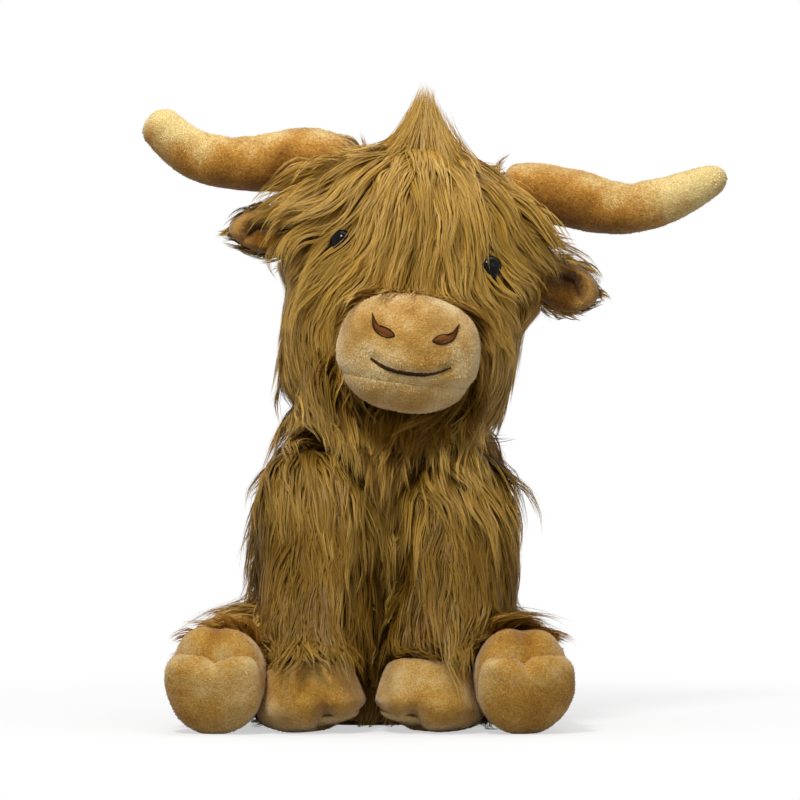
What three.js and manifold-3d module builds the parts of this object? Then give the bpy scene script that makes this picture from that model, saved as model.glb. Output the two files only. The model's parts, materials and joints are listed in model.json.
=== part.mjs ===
// Sitting long-haired highland cow, a stuffed toy, in millimetres and degrees, +Z up.
// The cow faces -Y and its own left is +X. The origin is the centre of the flat seat panel.

import * as THREE from 'three';
import Module from 'manifold-3d';
import { mergeVertices } from 'three/addons/utils/BufferGeometryUtils.js';

const wasm = await Module();
wasm.setup();

// Clearances
const SEAM_GAP = 0.3; // between pieces that are sewn face to face
const FLEX_GAP = 0.8; // between pieces that turn on each other
const FLOOR_CUT = 0.5; // depth of the flat where a stuffed piece rests on the floor
const SPLINTER = 0.1; // detail finer than this is dropped from a cut surface

// Torso
const TORSO_HEIGHT = 143;
const TORSO_WIDTH = 124;
const TORSO_DEPTH = 100;
const TORSO_BACK_SHIFT = 6; // the torso's middle lies this far behind the origin
const TORSO_LEAN = 3.3; // the spine leans to the cow's left
const SEAT_SAG = 5; // how far the round underside would reach below the floor

// Seat
const SEAT_PANEL_WIDTH = 78;
const SEAT_PANEL_DEPTH = 60;
const SEAT_PANEL_THICKNESS = 1.5;
const POUCH_WIDTH = 60;
const POUCH_DEPTH = 44;
const POUCH_HEIGHT = 22;

// Neck
const NECK_RISE = 17; // centre of the neck ball above the torso's top
const NECK_HEIGHT = TORSO_HEIGHT + NECK_RISE;
const NECK_BACK_SHIFT = 6;
const NECK_BALL_RADIUS = 30;
const NECK_PATCH_THICKNESS = 2;
const BODY_PATCH_REACH = 74; // degrees from the top of the ball to the patch's edge
const HEAD_PATCH_REACH = 66;

// Head, in its own frame at the neck ball
const HEAD_ROLL = 10; // the head leans to the cow's left at rest
const HEAD_WIDTH = 128;
const HEAD_DEPTH = 112;
const HEAD_TOP = 134; // above the neck ball's centre
const HEAD_BOTTOM = 10; // below the neck ball's centre
const HEAD_FORWARD = 6; // the head's middle lies this far before the neck
const HEAD_SQUARENESS = 2.2; // 2 is an ellipse, more is fuller at the corners

// Forelock
const FORELOCK_HEIGHT = 33; // above the crown
const FORELOCK_WIDTH = 74;
const FORELOCK_DEPTH = 40;
const FORELOCK_SHIFT = 8; // the tip leans to the cow's right
const FORELOCK_FORWARD = 10;

// Muzzle
const MUZZLE_WIDTH = 72;
const MUZZLE_HEIGHT = 58;
const MUZZLE_REACH = 103; // from the neck ball's centre to the muzzle's front
const MUZZLE_LENGTH = 62;
const MUZZLE_RISE = 29; // the muzzle's middle above the neck ball's centre
const MUZZLE_SHIFT = 5;
const MUZZLE_ROLL = -3; // against the head
const CHIN_SEAM_DROP = 14; // the chin seam below the muzzle's middle

// Stitched features on the muzzle, from its middle
const STITCH_HEIGHT = 0.9;
const FEATURE_SHIFT = 1.5;
const NOSTRIL_OUTER = { x: 21.5, z: 17.5 };
const NOSTRIL_INNER = { x: 9.5, z: 8 };
const NOSTRIL_WIDTH = 4.4;
const MOUTH_HALF_SPAN = 19.5;
const MOUTH_END_HEIGHT = -4;
const MOUTH_SAG = 6.5;
const MOUTH_STITCH_WIDTH = 1.8;

// Eyes
const EYE_DIAMETER = 12;
const EYE_BULGE = 4.5;
const EYE_SPACING = 76;
const EYE_RISE = 78;
const EYE_SINK = 3; // the eye's back lies this far below the pile
const EYE_STEM_RADIUS = 1.8;
const EYE_STEM_LENGTH = 14;
const WASHER_RADIUS = 7.5;
const WASHER_THICKNESS = 1.6;
const WASHER_DEPTH = 9; // from the eye's back to the washer

// Horns, each in its own frame at the root, pointing along +X
const HORN_ROOT_SPACING = 98;
const HORN_RISE = 118;
const HORN_LENGTH = 92;
const HORN_ROOT_RADIUS = 15;
const HORN_TIP_RADIUS = 9.5;
const HORN_DIP = 6;
const HORN_TIP_LIFT = 16;
const HORN_FORWARD_SWEEP = 8;
const LEFT_HORN_DROOP = -4; // raised
const RIGHT_HORN_DROOP = 4; // hanging

// Ears, each in its own frame at the root, pointing along +X
const EAR_ROOT_SPACING = 112;
const EAR_RISE = 77;
const EAR_BACK_SHIFT = 4;
const EAR_LENGTH = 38;
const EAR_HEIGHT = 28;
const EAR_THICKNESS = 14;
const EAR_LINING_THICKNESS = 2;
const EAR_DROOP = 4;
const EAR_ROOT_RADIUS = 6;

// Front legs
const SHOULDER_SPACING = 72;
const SHOULDER_DROP = 22; // below the torso's top
const SHOULDER_HEIGHT = TORSO_HEIGHT - SHOULDER_DROP;
const SHOULDER_FORWARD = 36;
const FRONT_LEG_WIDTH = 50;
const FRONT_LEG_DEPTH = 46;
const FRONT_HEM_HEIGHT = 34; // of the sleeve's middle where it meets the hoof
const FRONT_HOOF_SPACING = 55;
const FRONT_HOOF_FORWARD = 62;
const FRONT_HOOF_WIDTH = 52;
const FRONT_HOOF_LENGTH = 56;
const FRONT_HOOF_ROLL = 7; // the outer toe hangs lower

// Hind legs
const HIP_SPACING = 108;
const HIP_HEIGHT = 31;
const HIP_FORWARD = 2;
const HIND_LEG_WIDTH = 46;
const HIND_LEG_DEPTH = 50;
const HIND_LEG_REACH = 62; // from the hip to the hoof's ankle
const HIND_LEG_SPLAY = 15.5;
const HIND_HOOF_WIDTH = 47;
const HIND_HOOF_LENGTH = 50;
const HIND_SOLE_TILT = 12; // the soles face a little down

// Front and hind legs keep to their own side of an upright plane, so each can swing past the other
const LEG_PLANE = 56; // from the origin
const LEG_PLANE_TOP = 80;
const LEG_PLANE_BACK = 22; // the hind legs keep outside the plane before this line

// Hooves
const HOOF_DEPTH = 30; // from the ankle to the sole seam
const SOLE_CROWN = 4.5;
const CLEFT_DEPTH = 5.5;

// Tail
const TAIL_ROOT_HEIGHT = 62;
const TAIL_STUB = 12; // from the torso's back to the hanging part
const TAIL_RADIUS = 4.5;
const TAIL_LENGTH = 34;
const TUFT_LENGTH = 26;
const TUFT_RADIUS = 9;

// Travel of the flexing seams, in degrees from rest, that the pieces around them leave room for
const HORN_RAISE = 12;
const EAR_LOWER = 25;
const HIP_LIFT = 16;
const ROOT_ROOM_SPARE = 2; // more than the travel
const ROOT_ROOM_LENGTH = 26; // outward from a horn's or an ear's root
const ROOT_ROOM_BACK = 3; // inward from it

const DEGREE = Math.PI / 180;
const UP = new THREE.Vector3(0, 0, 1);
const ACROSS = new THREE.Vector3(1, 0, 0);

// Materials
const plushColours = { longPile: 0xa07a38, shortPile: 0xd4a257, stitching: 0x3a1f10, eye: 0x0a0a0c };
const material = (color, roughness, metalness = 0) =>
  new THREE.MeshStandardMaterial({ color, roughness, metalness });
const longPile = () => material(plushColours.longPile, 0.95);
const shortPile = () => material(plushColours.shortPile, 0.9);
const stitching = () => material(plushColours.stitching, 0.7);
const lacquer = () => material(plushColours.eye, 0.08);
const hardPlastic = () => material(0xe6e2d8, 0.45);
const backingCloth = () => material(0x7a5c2c, 0.95);

// Solids

function solidOf(geometry) {
  const bare = geometry.clone();
  bare.deleteAttribute('normal');
  bare.deleteAttribute('uv');
  const merged = mergeVertices(bare, 1e-4);
  return new wasm.Manifold(new wasm.Mesh({
    numProp: 3,
    vertProperties: new Float32Array(merged.attributes.position.array),
    triVerts: new Uint32Array(merged.index.array),
  }));
}

function geometryOf(solid) {
  const { vertProperties, triVerts, numProp } = solid.getMesh();
  const geometry = new THREE.BufferGeometry();
  const position = new Float32Array((vertProperties.length / numProp) * 3);
  for (let i = 0; i < position.length / 3; i += 1) {
    for (let axis = 0; axis < 3; axis += 1) position[3 * i + axis] = vertProperties[numProp * i + axis];
  }
  geometry.setAttribute('position', new THREE.BufferAttribute(position, 3));
  geometry.setIndex(new THREE.BufferAttribute(new Uint32Array(triVerts), 1));
  geometry.computeVertexNormals();
  return geometry;
}

// The largest body of a cut solid, without the offcuts and without the cuts' finest splinters.
function mainBody(solid) {
  const bodies = solid.simplify(SPLINTER).decompose();
  return bodies.reduce((best, body) => (body.volume() > best.volume() ? body : best));
}

const placed = (solid, matrix) => solid.transform(matrix.toArray());
const between = (matrixOfChild, matrixOfParent) => matrixOfParent.clone().invert().multiply(matrixOfChild);

function boxSolid(low, high) {
  const size = new THREE.Vector3().subVectors(high, low);
  const centre = new THREE.Vector3().addVectors(low, high).multiplyScalar(0.5);
  const geometry = new THREE.BoxGeometry(size.x, size.y, size.z);
  geometry.translate(centre.x, centre.y, centre.z);
  return solidOf(geometry);
}

// A smooth curve of values over shares of a length, through a few [share, value] knots.
function swellOf(knots) {
  const points = knots.map(([share, value]) => new THREE.Vector3(share, value, 0));
  const curve = new THREE.CatmullRomCurve3(points);
  return (share) => {
    let low = 0;
    let high = 1;
    for (let step = 0; step < 24; step += 1) {
      const middle = (low + high) / 2;
      if (curve.getPoint(middle).x < share) low = middle;
      else high = middle;
    }
    return curve.getPoint(low).y;
  };
}

// Shares of a form's length, close together in its two rounded ends, each with its end factor from 0 to 1.
function stationsOf(startRound, endRound, endSteps, middleSteps) {
  const stations = [];
  for (let i = 1; i <= endSteps; i += 1) {
    const turn = (i / endSteps) * (Math.PI / 2);
    stations.push({ share: startRound * (1 - Math.cos(turn)), fill: Math.sin(turn) });
  }
  for (let i = 1; i < middleSteps; i += 1) {
    stations.push({ share: startRound + (i / middleSteps) * (1 - startRound - endRound), fill: 1 });
  }
  for (let i = endSteps; i >= 1; i -= 1) {
    const turn = (i / endSteps) * (Math.PI / 2);
    stations.push({ share: 1 - endRound * (1 - Math.cos(turn)), fill: Math.sin(turn) });
  }
  return stations;
}

// A closed stuffed form that swells and tapers along a spine, with a pole at each end.
// halfAcross and halfDeep give its half sizes at a share of its length, and dent a factor at an angle.
function stuffedForm({
  spine, across = ACROSS, halfAcross, halfDeep, startRound = 0.1, endRound = 0.1,
  sides = 20, endSteps = 3, middleSteps = 5, squareness = 2, dent = () => 1,
}) {
  const points = [];
  const faces = [];
  const stations = stationsOf(startRound, endRound, endSteps, middleSteps);
  stations.forEach(({ share, fill }) => {
    const centre = spine.getPoint(share);
    const along = spine.getTangent(share);
    const deep = new THREE.Vector3().crossVectors(along, across).normalize();
    const side = new THREE.Vector3().crossVectors(deep, along);
    for (let j = 0; j < sides; j += 1) {
      const angle = (j / sides) * 2 * Math.PI;
      const cos = Math.cos(angle);
      const sin = Math.sin(angle);
      const reach = (Math.abs(cos) ** squareness + Math.abs(sin) ** squareness) ** (-1 / squareness);
      const size = reach * fill * dent(angle, share);
      points.push(centre.clone()
        .addScaledVector(side, cos * size * halfAcross(share))
        .addScaledVector(deep, sin * size * halfDeep(share)));
    }
  });
  const last = stations.length - 1;
  const startPole = points.push(spine.getPoint(0)) - 1;
  const endPole = points.push(spine.getPoint(1)) - 1;
  for (let j = 0; j < sides; j += 1) {
    const next = (j + 1) % sides;
    faces.push(startPole, next, j);
    faces.push(endPole, last * sides + j, last * sides + next);
    for (let i = 0; i < last; i += 1) {
      const [a, b] = [i * sides + j, i * sides + next];
      const [c, d] = [b + sides, a + sides];
      faces.push(a, b, c, a, c, d);
    }
  }
  const geometry = new THREE.BufferGeometry().setFromPoints(points);
  geometry.setIndex(faces);
  return solidOf(geometry);
}

const line = (from, to) => new THREE.LineCurve3(from, to);
const smooth = (...points) => new THREE.CatmullRomCurve3(points);
const vec = (x, y, z) => new THREE.Vector3(x, y, z);

// An ellipsoid that is round about the X axis, so it can turn about that axis in its socket.
function jointCap(halfAcross, radius, sides = 20) {
  const geometry = new THREE.SphereGeometry(1, sides, sides / 2);
  geometry.rotateZ(Math.PI / 2);
  geometry.scale(halfAcross, radius, radius);
  return solidOf(geometry);
}

function ballSolid(radius, sides = 20) {
  const geometry = new THREE.SphereGeometry(radius, sides, sides / 2);
  geometry.rotateX(Math.PI / 2);
  return solidOf(geometry);
}

// A domed patch on the neck ball, cut off at an angle from its top.
function neckPatch(innerRadius, reach, sides = 20, rings = 4) {
  const outerRadius = innerRadius + NECK_PATCH_THICKNESS;
  const profile = [];
  for (let i = 0; i <= rings; i += 1) {
    const angle = (i / rings) * reach * DEGREE;
    profile.push(new THREE.Vector2(outerRadius * Math.sin(angle), outerRadius * Math.cos(angle)));
  }
  for (let i = rings; i >= 0; i -= 1) {
    const angle = (i / rings) * reach * DEGREE;
    profile.push(new THREE.Vector2(innerRadius * Math.sin(angle), innerRadius * Math.cos(angle)));
  }
  profile.reverse();
  const geometry = new THREE.LatheGeometry(profile, sides);
  geometry.rotateX(Math.PI / 2);
  return solidOf(geometry);
}

// Sides: +1 is the cow's left, -1 its right.
const SIDES = [['left', 1], ['right', -1]];

const cow = new THREE.Group();

function frameAt(parent, position, rotation = [0, 0, 0]) {
  const frame = new THREE.Group();
  frame.position.copy(position);
  frame.rotation.set(rotation[0] * DEGREE, rotation[1] * DEGREE, rotation[2] * DEGREE);
  parent.add(frame);
  frame.updateWorldMatrix(true, false);
  return frame;
}

function addPiece(name, parent, solid, finish) {
  const mesh = new THREE.Mesh(geometryOf(mainBody(solid)), finish);
  mesh.name = name;
  parent.add(mesh);
  return mesh;
}

// Frames of the pieces that turn on each other

const spineShift = (height) => height * Math.tan(TORSO_LEAN * DEGREE);

const neckCentre = vec(spineShift(NECK_HEIGHT), NECK_BACK_SHIFT, NECK_HEIGHT);
const headFrame = frameAt(cow, neckCentre, [0, HEAD_ROLL, 0]);

const shoulderOf = (side) => vec(
  spineShift(SHOULDER_HEIGHT) + side * (SHOULDER_SPACING / 2), -SHOULDER_FORWARD, SHOULDER_HEIGHT,
);
const hipOf = (side) => vec(side * (HIP_SPACING / 2), -HIP_FORWARD, HIP_HEIGHT);

// Front legs, each in a frame at its shoulder

function frontLegForm(side, grow = 0) {
  const shoulder = shoulderOf(side);
  const halfWidth = FRONT_LEG_WIDTH / 2 + grow;
  const halfDepth = FRONT_LEG_DEPTH / 2 + grow;
  const hoofTop = vec(side * (FRONT_HOOF_SPACING / 2), -FRONT_HOOF_FORWARD + 6, 0).sub(shoulder);
  hoofTop.z = FRONT_HEM_HEIGHT - SHOULDER_HEIGHT;
  const knee = hoofTop.clone().multiplyScalar(0.55);
  knee.y += 5;
  const swell = swellOf([[0, 0.9], [0.35, 0.97], [0.7, 1.02], [1, 1]]);
  const overrun = hoofTop.clone().multiplyScalar(1.12);
  const sleeve = stuffedForm({
    spine: smooth(vec(0, 0, 0), knee, overrun),
    halfAcross: (share) => halfWidth * swell(share),
    halfDeep: (share) => halfDepth * swell(share),
    startRound: 0.05,
    endRound: 0.05,
    endSteps: 1,
    middleSteps: 5,
    sides: 16,
  });
  return sleeve.add(jointCap(halfWidth, halfDepth, 16));
}

// Hoof in a frame at the middle of its sole seam: toes along -Y, sole facing -Z

const cleft = (angle) => {
  const fromToe = Math.atan2(Math.sin(angle + Math.PI / 2), Math.cos(angle + Math.PI / 2));
  return Math.exp(-((fromToe / 0.3) ** 2));
};

function hoofUpper(width, length, depth) {
  const swell = swellOf([[0, 1], [0.3, 1.03], [0.6, 0.95], [1, 0.8]]);
  return stuffedForm({
    spine: smooth(vec(0, -4, -6), vec(0, -3, depth * 0.3), vec(0, 2, depth + 6)),
    across: ACROSS,
    halfAcross: (share) => (width / 2) * swell(share),
    halfDeep: (share) => (length / 2) * swell(share),
    startRound: 0.2,
    endRound: 0.12,
    squareness: 2.3,
    dent: (angle, share) => 1 - (CLEFT_DEPTH / (length / 2)) * cleft(angle) * Math.max(0, 1 - share * 1.3),
    sides: 20,
    endSteps: 2,
    middleSteps: 3,
  });
}

// A hoof is cut into its upper, above the sole seam, and its sole panel, below it.
function hoofPieces(width, length, depth) {
  const whole = hoofUpper(width, length, depth);
  const above = boxSolid(vec(-60, -60, SEAM_GAP / 2), vec(60, 60, depth));
  const below = boxSolid(vec(-60, -60, -SOLE_CROWN), vec(60, 60, -SEAM_GAP / 2));
  return { upper: whole.intersect(above), sole: whole.intersect(below) };
}

const underFloor = () => boxSolid(vec(-300, -300, -60), vec(300, 300, 0));

// Lifts a frame so that the lowest point of its solids lies a floor cut below the floor.
function seatOnFloor(frame, solids) {
  const lowest = Math.min(...solids.map((solid) => placed(solid, frame.matrixWorld).boundingBox().min[2]));
  frame.position.z -= lowest + FLOOR_CUT;
  frame.updateWorldMatrix(true, false);
}

function addHoof(name, frame, width, length, otherLegRoom) {
  const { upper, sole } = hoofPieces(width, length, HOOF_DEPTH);
  seatOnFloor(frame, [upper, sole]);
  const away = inFrame(underFloor().add(otherLegRoom), frame);
  addPiece(`${name}_hoof`, frame, upper.subtract(away), shortPile());
  addPiece(`${name}_sole`, frame, sole.subtract(away), shortPile());
}

// The space of a hoof and all that lies beyond it, as a sleeve's hem sees it.
const hoofSpace = () => boxSolid(vec(-60, -60, -60), vec(60, 60, HOOF_DEPTH + SEAM_GAP));

// A slab on one side of the leg plane: inside it for the hind legs to avoid, outside it for the front legs.
function legPlaneSlab(side, inside) {
  const plane = side * (LEG_PLANE + (inside ? FLEX_GAP : 0));
  const far = inside ? 0 : side * 150;
  const low = vec(Math.min(plane, far), -150, -30);
  const high = vec(Math.max(plane, far), inside ? -LEG_PLANE_BACK : 60, LEG_PLANE_TOP);
  return boxSolid(low, high);
}

const inFrame = (solid, frame) => placed(solid, between(new THREE.Matrix4(), frame.matrixWorld));

function addFrontLeg(name, side) {
  const frame = frameAt(cow, shoulderOf(side));
  const foot = vec(side * (FRONT_HOOF_SPACING / 2), -FRONT_HOOF_FORWARD, 0).sub(shoulderOf(side));
  const hoofFrame = frameAt(frame, foot, [0, side * FRONT_HOOF_ROLL, 0]);
  const hindRoom = legPlaneSlab(side, false);
  addHoof(name, hoofFrame, FRONT_HOOF_WIDTH, FRONT_HOOF_LENGTH, hindRoom);
  const leg = frontLegForm(side)
    .subtract(placed(hoofSpace(), between(hoofFrame.matrixWorld, frame.matrixWorld)))
    .subtract(inFrame(hindRoom, frame));
  addPiece(`${name}_leg`, frame, leg, longPile());
}

// Hind legs, each in a frame at its hip

const splay = HIND_LEG_SPLAY * DEGREE;
const hindDirection = (side) => vec(side * Math.sin(splay), -Math.cos(splay), 0);

function hindLegForm(side) {
  const halfWidth = HIND_LEG_WIDTH / 2;
  const halfDepth = HIND_LEG_DEPTH / 2;
  const ankle = hindDirection(side).multiplyScalar(HIND_LEG_REACH);
  ankle.z = HIND_HOOF_LENGTH / 2 - HIP_HEIGHT;
  const swell = swellOf([[0, 1], [0.4, 0.98], [1, 0.86]]);
  const sleeve = stuffedForm({
    spine: line(vec(0, 0, 0), ankle),
    halfAcross: (share) => halfWidth * swell(share),
    halfDeep: (share) => halfDepth * swell(share),
    startRound: 0.06,
    endRound: 0.05,
    endSteps: 1,
    middleSteps: 3,
    sides: 16,
  });
  return sleeve.add(jointCap(halfWidth, halfDepth, 16));
}

// The torso's room for a hind leg: its round cap, and the fan that the leg sweeps before the hip.
function hindLegRoom(side) {
  const radius = HIND_LEG_DEPTH / 2 + FLEX_GAP;
  const halfWidth = HIND_LEG_WIDTH / 2 + FLEX_GAP;
  const reach = 120;
  const lift = HIP_LIFT * DEGREE;
  const fan = new THREE.Shape([
    new THREE.Vector2(0, -radius),
    new THREE.Vector2(radius * Math.sin(lift), radius * Math.cos(lift)),
    new THREE.Vector2(
      radius * Math.sin(lift) - reach * Math.cos(lift), radius * Math.cos(lift) + reach * Math.sin(lift),
    ),
    new THREE.Vector2(-reach, -radius),
  ]);
  const prism = new THREE.ExtrudeGeometry(fan, { depth: reach, bevelEnabled: false });
  prism.applyMatrix4(new THREE.Matrix4().makeBasis(vec(0, 1, 0), vec(0, 0, 1), vec(1, 0, 0)));
  prism.translate(side > 0 ? -halfWidth : halfWidth - reach, 0, 0);
  return solidOf(prism).add(jointCap(halfWidth, radius, 16));
}

function addHindLeg(name, side) {
  const frame = frameAt(cow, hipOf(side));
  const toHoof = hindDirection(side).multiplyScalar(HIND_LEG_REACH + HOOF_DEPTH + SEAM_GAP);
  const hoofFrame = frameAt(frame, toHoof);
  hoofFrame.rotation.order = 'ZXY';
  hoofFrame.rotation.set((HIND_SOLE_TILT - 90) * DEGREE, 0, side * HIND_LEG_SPLAY * DEGREE);
  hoofFrame.updateWorldMatrix(true, false);
  const frontRoom = legPlaneSlab(side, true);
  addHoof(name, hoofFrame, HIND_HOOF_WIDTH, HIND_HOOF_LENGTH, frontRoom);
  const leg = hindLegForm(side)
    .subtract(placed(hoofSpace(), between(hoofFrame.matrixWorld, frame.matrixWorld)))
    .subtract(inFrame(underFloor().add(frontRoom), frame));
  addPiece(`${name}_leg`, frame, leg, longPile());
}

// Torso with its seat

const torsoDeep = swellOf([[0, 0.9], [0.3, 1], [0.6, 0.96], [0.85, 0.8], [1, 0.66]]);

function torsoForm() {
  const foot = -SEAT_SAG;
  const wide = swellOf([[0, 0.88], [0.3, 1], [0.6, 0.96], [0.85, 0.8], [1, 0.66]]);
  return stuffedForm({
    spine: line(
      vec(spineShift(foot), TORSO_BACK_SHIFT, foot),
      vec(spineShift(TORSO_HEIGHT), TORSO_BACK_SHIFT, TORSO_HEIGHT),
    ),
    halfAcross: (share) => (TORSO_WIDTH / 2) * wide(share),
    halfDeep: (share) => (TORSO_DEPTH / 2) * torsoDeep(share),
    startRound: 0.12,
    endRound: 0.14,
    sides: 24,
    endSteps: 3,
    middleSteps: 6,
  });
}

function pouchForm(grow = 0) {
  const geometry = new THREE.SphereGeometry(1, 16, 8);
  geometry.rotateX(Math.PI / 2);
  geometry.scale(POUCH_WIDTH / 2 + grow, POUCH_DEPTH / 2 + grow, POUCH_HEIGHT / 2 + grow);
  geometry.translate(0, TORSO_BACK_SHIFT, SEAT_PANEL_THICKNESS + SEAM_GAP + POUCH_HEIGHT / 2);
  return solidOf(geometry);
}

function ovalPlate(halfWidth, halfDepth, bottom, top, sides = 20) {
  const geometry = new THREE.CylinderGeometry(1, 1, top - bottom, sides);
  geometry.rotateX(Math.PI / 2);
  geometry.scale(halfWidth, halfDepth, 1);
  geometry.translate(0, TORSO_BACK_SHIFT, (top + bottom) / 2);
  return solidOf(geometry);
}

function addTorso() {
  const seatTop = SEAT_PANEL_THICKNESS + SEAM_GAP;
  const pouchMiddle = seatTop + POUCH_HEIGHT / 2;
  let torso = torsoForm()
    .add(ballSolid(NECK_BALL_RADIUS).translate(headFrame.position.toArray()))
    .subtract(boxSolid(vec(-200, -200, -60), vec(200, 200, seatTop)))
    .subtract(pouchForm(SEAM_GAP))
    .subtract(ovalPlate(POUCH_WIDTH / 2 + SEAM_GAP, POUCH_DEPTH / 2 + SEAM_GAP, 0, pouchMiddle));
  SIDES.forEach(([, side]) => {
    const shoulder = shoulderOf(side);
    const reach = FRONT_LEG_WIDTH / 2 + FLEX_GAP;
    const bay = boxSolid(
      vec(shoulder.x - reach, -150, 0),
      vec(shoulder.x + reach, shoulder.y, shoulder.z),
    );
    torso = torso.subtract(frontLegForm(side, FLEX_GAP).translate(shoulder.toArray())).subtract(bay);
    torso = torso.subtract(hindLegRoom(side).translate(hipOf(side).toArray()));
  });
  torso = torso.subtract(tailForm(FLEX_GAP).translate(tailRoot().toArray()));
  addPiece('torso', cow, torso, longPile());
  addPiece('seat_panel', cow,
    ovalPlate(SEAT_PANEL_WIDTH / 2, SEAT_PANEL_DEPTH / 2, 0, SEAT_PANEL_THICKNESS), backingCloth());
  addPiece('seat_pellet_pouch', cow, pouchForm(), backingCloth());
}

// Tail, in a frame at its root on the torso's back

const torsoBackAt = (height) => (
  TORSO_BACK_SHIFT + (TORSO_DEPTH / 2) * torsoDeep((height + SEAT_SAG) / (TORSO_HEIGHT + SEAT_SAG))
);
const tailRoot = () => vec(spineShift(TAIL_ROOT_HEIGHT), torsoBackAt(TAIL_ROOT_HEIGHT), TAIL_ROOT_HEIGHT);

function tailForm(grow = 0) {
  const radius = TAIL_RADIUS + grow;
  return stuffedForm({
    spine: smooth(
      vec(0, -8 - grow, 0), vec(0, 0, 0), vec(0, TAIL_STUB - 3, -3),
      vec(0, TAIL_STUB, -10), vec(0, TAIL_STUB, -TAIL_LENGTH),
    ),
    halfAcross: () => radius,
    halfDeep: () => radius,
    startRound: 0.04,
    endRound: 0.04,
    sides: 10,
    endSteps: 2,
    middleSteps: 8,
  });
}

function addTail() {
  const frame = frameAt(cow, tailRoot());
  addPiece('tail', frame, tailForm(), longPile());
  const swell = swellOf([[0, 0.55], [0.45, 1], [1, 0.25]]);
  const top = -TAIL_LENGTH - SEAM_GAP;
  addPiece('tail_tuft', frame, stuffedForm({
    spine: line(vec(0, TAIL_STUB, top), vec(0, TAIL_STUB, top - TUFT_LENGTH)),
    halfAcross: (share) => TUFT_RADIUS * swell(share),
    halfDeep: (share) => TUFT_RADIUS * swell(share),
    startRound: 0.1,
    endRound: 0.1,
    sides: 12,
    endSteps: 2,
    middleSteps: 4,
  }), longPile());
}

// Head, in the head frame

const headWide = swellOf([[0, 0.8], [0.2, 0.93], [0.42, 1], [0.62, 0.98], [0.85, 0.8], [1, 0.62]]);
const headDeep = swellOf([[0, 0.8], [0.3, 1], [0.6, 1], [0.85, 0.86], [1, 0.7]]);
const headShare = (height) => (height + HEAD_BOTTOM) / (HEAD_TOP + HEAD_BOTTOM);

function headForm(grow = 0) {
  return stuffedForm({
    spine: line(vec(0, -HEAD_FORWARD, -HEAD_BOTTOM - grow), vec(0, -HEAD_FORWARD, HEAD_TOP + grow)),
    halfAcross: (share) => (HEAD_WIDTH / 2 + grow) * headWide(share),
    halfDeep: (share) => (HEAD_DEPTH / 2 + grow) * headDeep(share),
    startRound: 0.1,
    endRound: 0.16,
    squareness: HEAD_SQUARENESS,
    sides: 26,
    endSteps: 3,
    middleSteps: 6,
  });
}

// The head's front surface at a place across and a height, with the direction that faces out there.
function headFace(x, height) {
  const halfWidth = (HEAD_WIDTH / 2) * headWide(headShare(height));
  const halfDepth = (HEAD_DEPTH / 2) * headDeep(headShare(height));
  const deep = halfDepth * (1 - (Math.abs(x) / halfWidth) ** HEAD_SQUARENESS) ** (1 / HEAD_SQUARENESS);
  const out = vec(Math.sign(x) * (Math.abs(x) / halfWidth) ** (HEAD_SQUARENESS - 1) / halfWidth,
    -((deep / halfDepth) ** (HEAD_SQUARENESS - 1)) / halfDepth, 0).normalize();
  return { point: vec(x, -HEAD_FORWARD - deep, height), out };
}

const eyeFrames = SIDES.map(([name, side]) => {
  const { point, out } = headFace(side * (EYE_SPACING / 2), EYE_RISE);
  const frame = frameAt(headFrame, point.addScaledVector(out, -EYE_SINK));
  frame.quaternion.setFromUnitVectors(UP, out);
  frame.updateWorldMatrix(true, false);
  return [name, frame];
});

function rod(radius, from, to, sides = 16) {
  const geometry = new THREE.CylinderGeometry(radius, radius, to - from, sides);
  geometry.rotateX(Math.PI / 2);
  geometry.translate(0, 0, (from + to) / 2);
  return solidOf(geometry);
}

// The eye's room in the head: a pit for the dome, a bore for the stem and a pocket for the washer.
function eyeRoom() {
  const washerBack = -WASHER_DEPTH - WASHER_THICKNESS;
  return rod(EYE_DIAMETER / 2 + SEAM_GAP, -SEAM_GAP, 30)
    .add(rod(EYE_STEM_RADIUS + SEAM_GAP, -EYE_STEM_LENGTH - SEAM_GAP, 0, 10))
    .add(rod(WASHER_RADIUS + SEAM_GAP, washerBack - SEAM_GAP, -WASHER_DEPTH + SEAM_GAP));
}

function addEyes() {
  eyeFrames.forEach(([name, frame]) => {
    const dome = new THREE.SphereGeometry(1, 16, 8);
    dome.rotateX(Math.PI / 2);
    dome.scale(EYE_DIAMETER / 2, EYE_DIAMETER / 2, EYE_BULGE);
    const eye = solidOf(dome).intersect(boxSolid(vec(-20, -20, 0), vec(20, 20, 20)))
      .add(rod(EYE_STEM_RADIUS, -EYE_STEM_LENGTH, 0.5, 10));
    addPiece(`${name}_eye`, frame, eye, lacquer());
    const washer = rod(WASHER_RADIUS, -WASHER_DEPTH - WASHER_THICKNESS, -WASHER_DEPTH)
      .subtract(rod(EYE_STEM_RADIUS + SEAM_GAP, -20, 0, 10));
    addPiece(`${name}_eye_washer`, frame, washer, hardPlastic());
  });
}

// Muzzle and chin, in a frame at the muzzle's middle

const muzzleFrame = frameAt(headFrame, vec(MUZZLE_SHIFT, 0, MUZZLE_RISE), [0, MUZZLE_ROLL, 0]);

function muzzleForm(grow = 0) {
  const swell = swellOf([[0, 0.9], [0.35, 0.97], [0.65, 1], [1, 0.86]]);
  return stuffedForm({
    spine: line(vec(0, MUZZLE_LENGTH - MUZZLE_REACH, 0), vec(0, -MUZZLE_REACH - grow, 0)),
    halfAcross: (share) => (MUZZLE_WIDTH / 2 + grow) * swell(share),
    halfDeep: (share) => (MUZZLE_HEIGHT / 2 + grow) * swell(share),
    startRound: 0.1,
    endRound: 0.4,
    squareness: 2.3,
    sides: 24,
    endSteps: 4,
    middleSteps: 2,
  });
}

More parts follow.
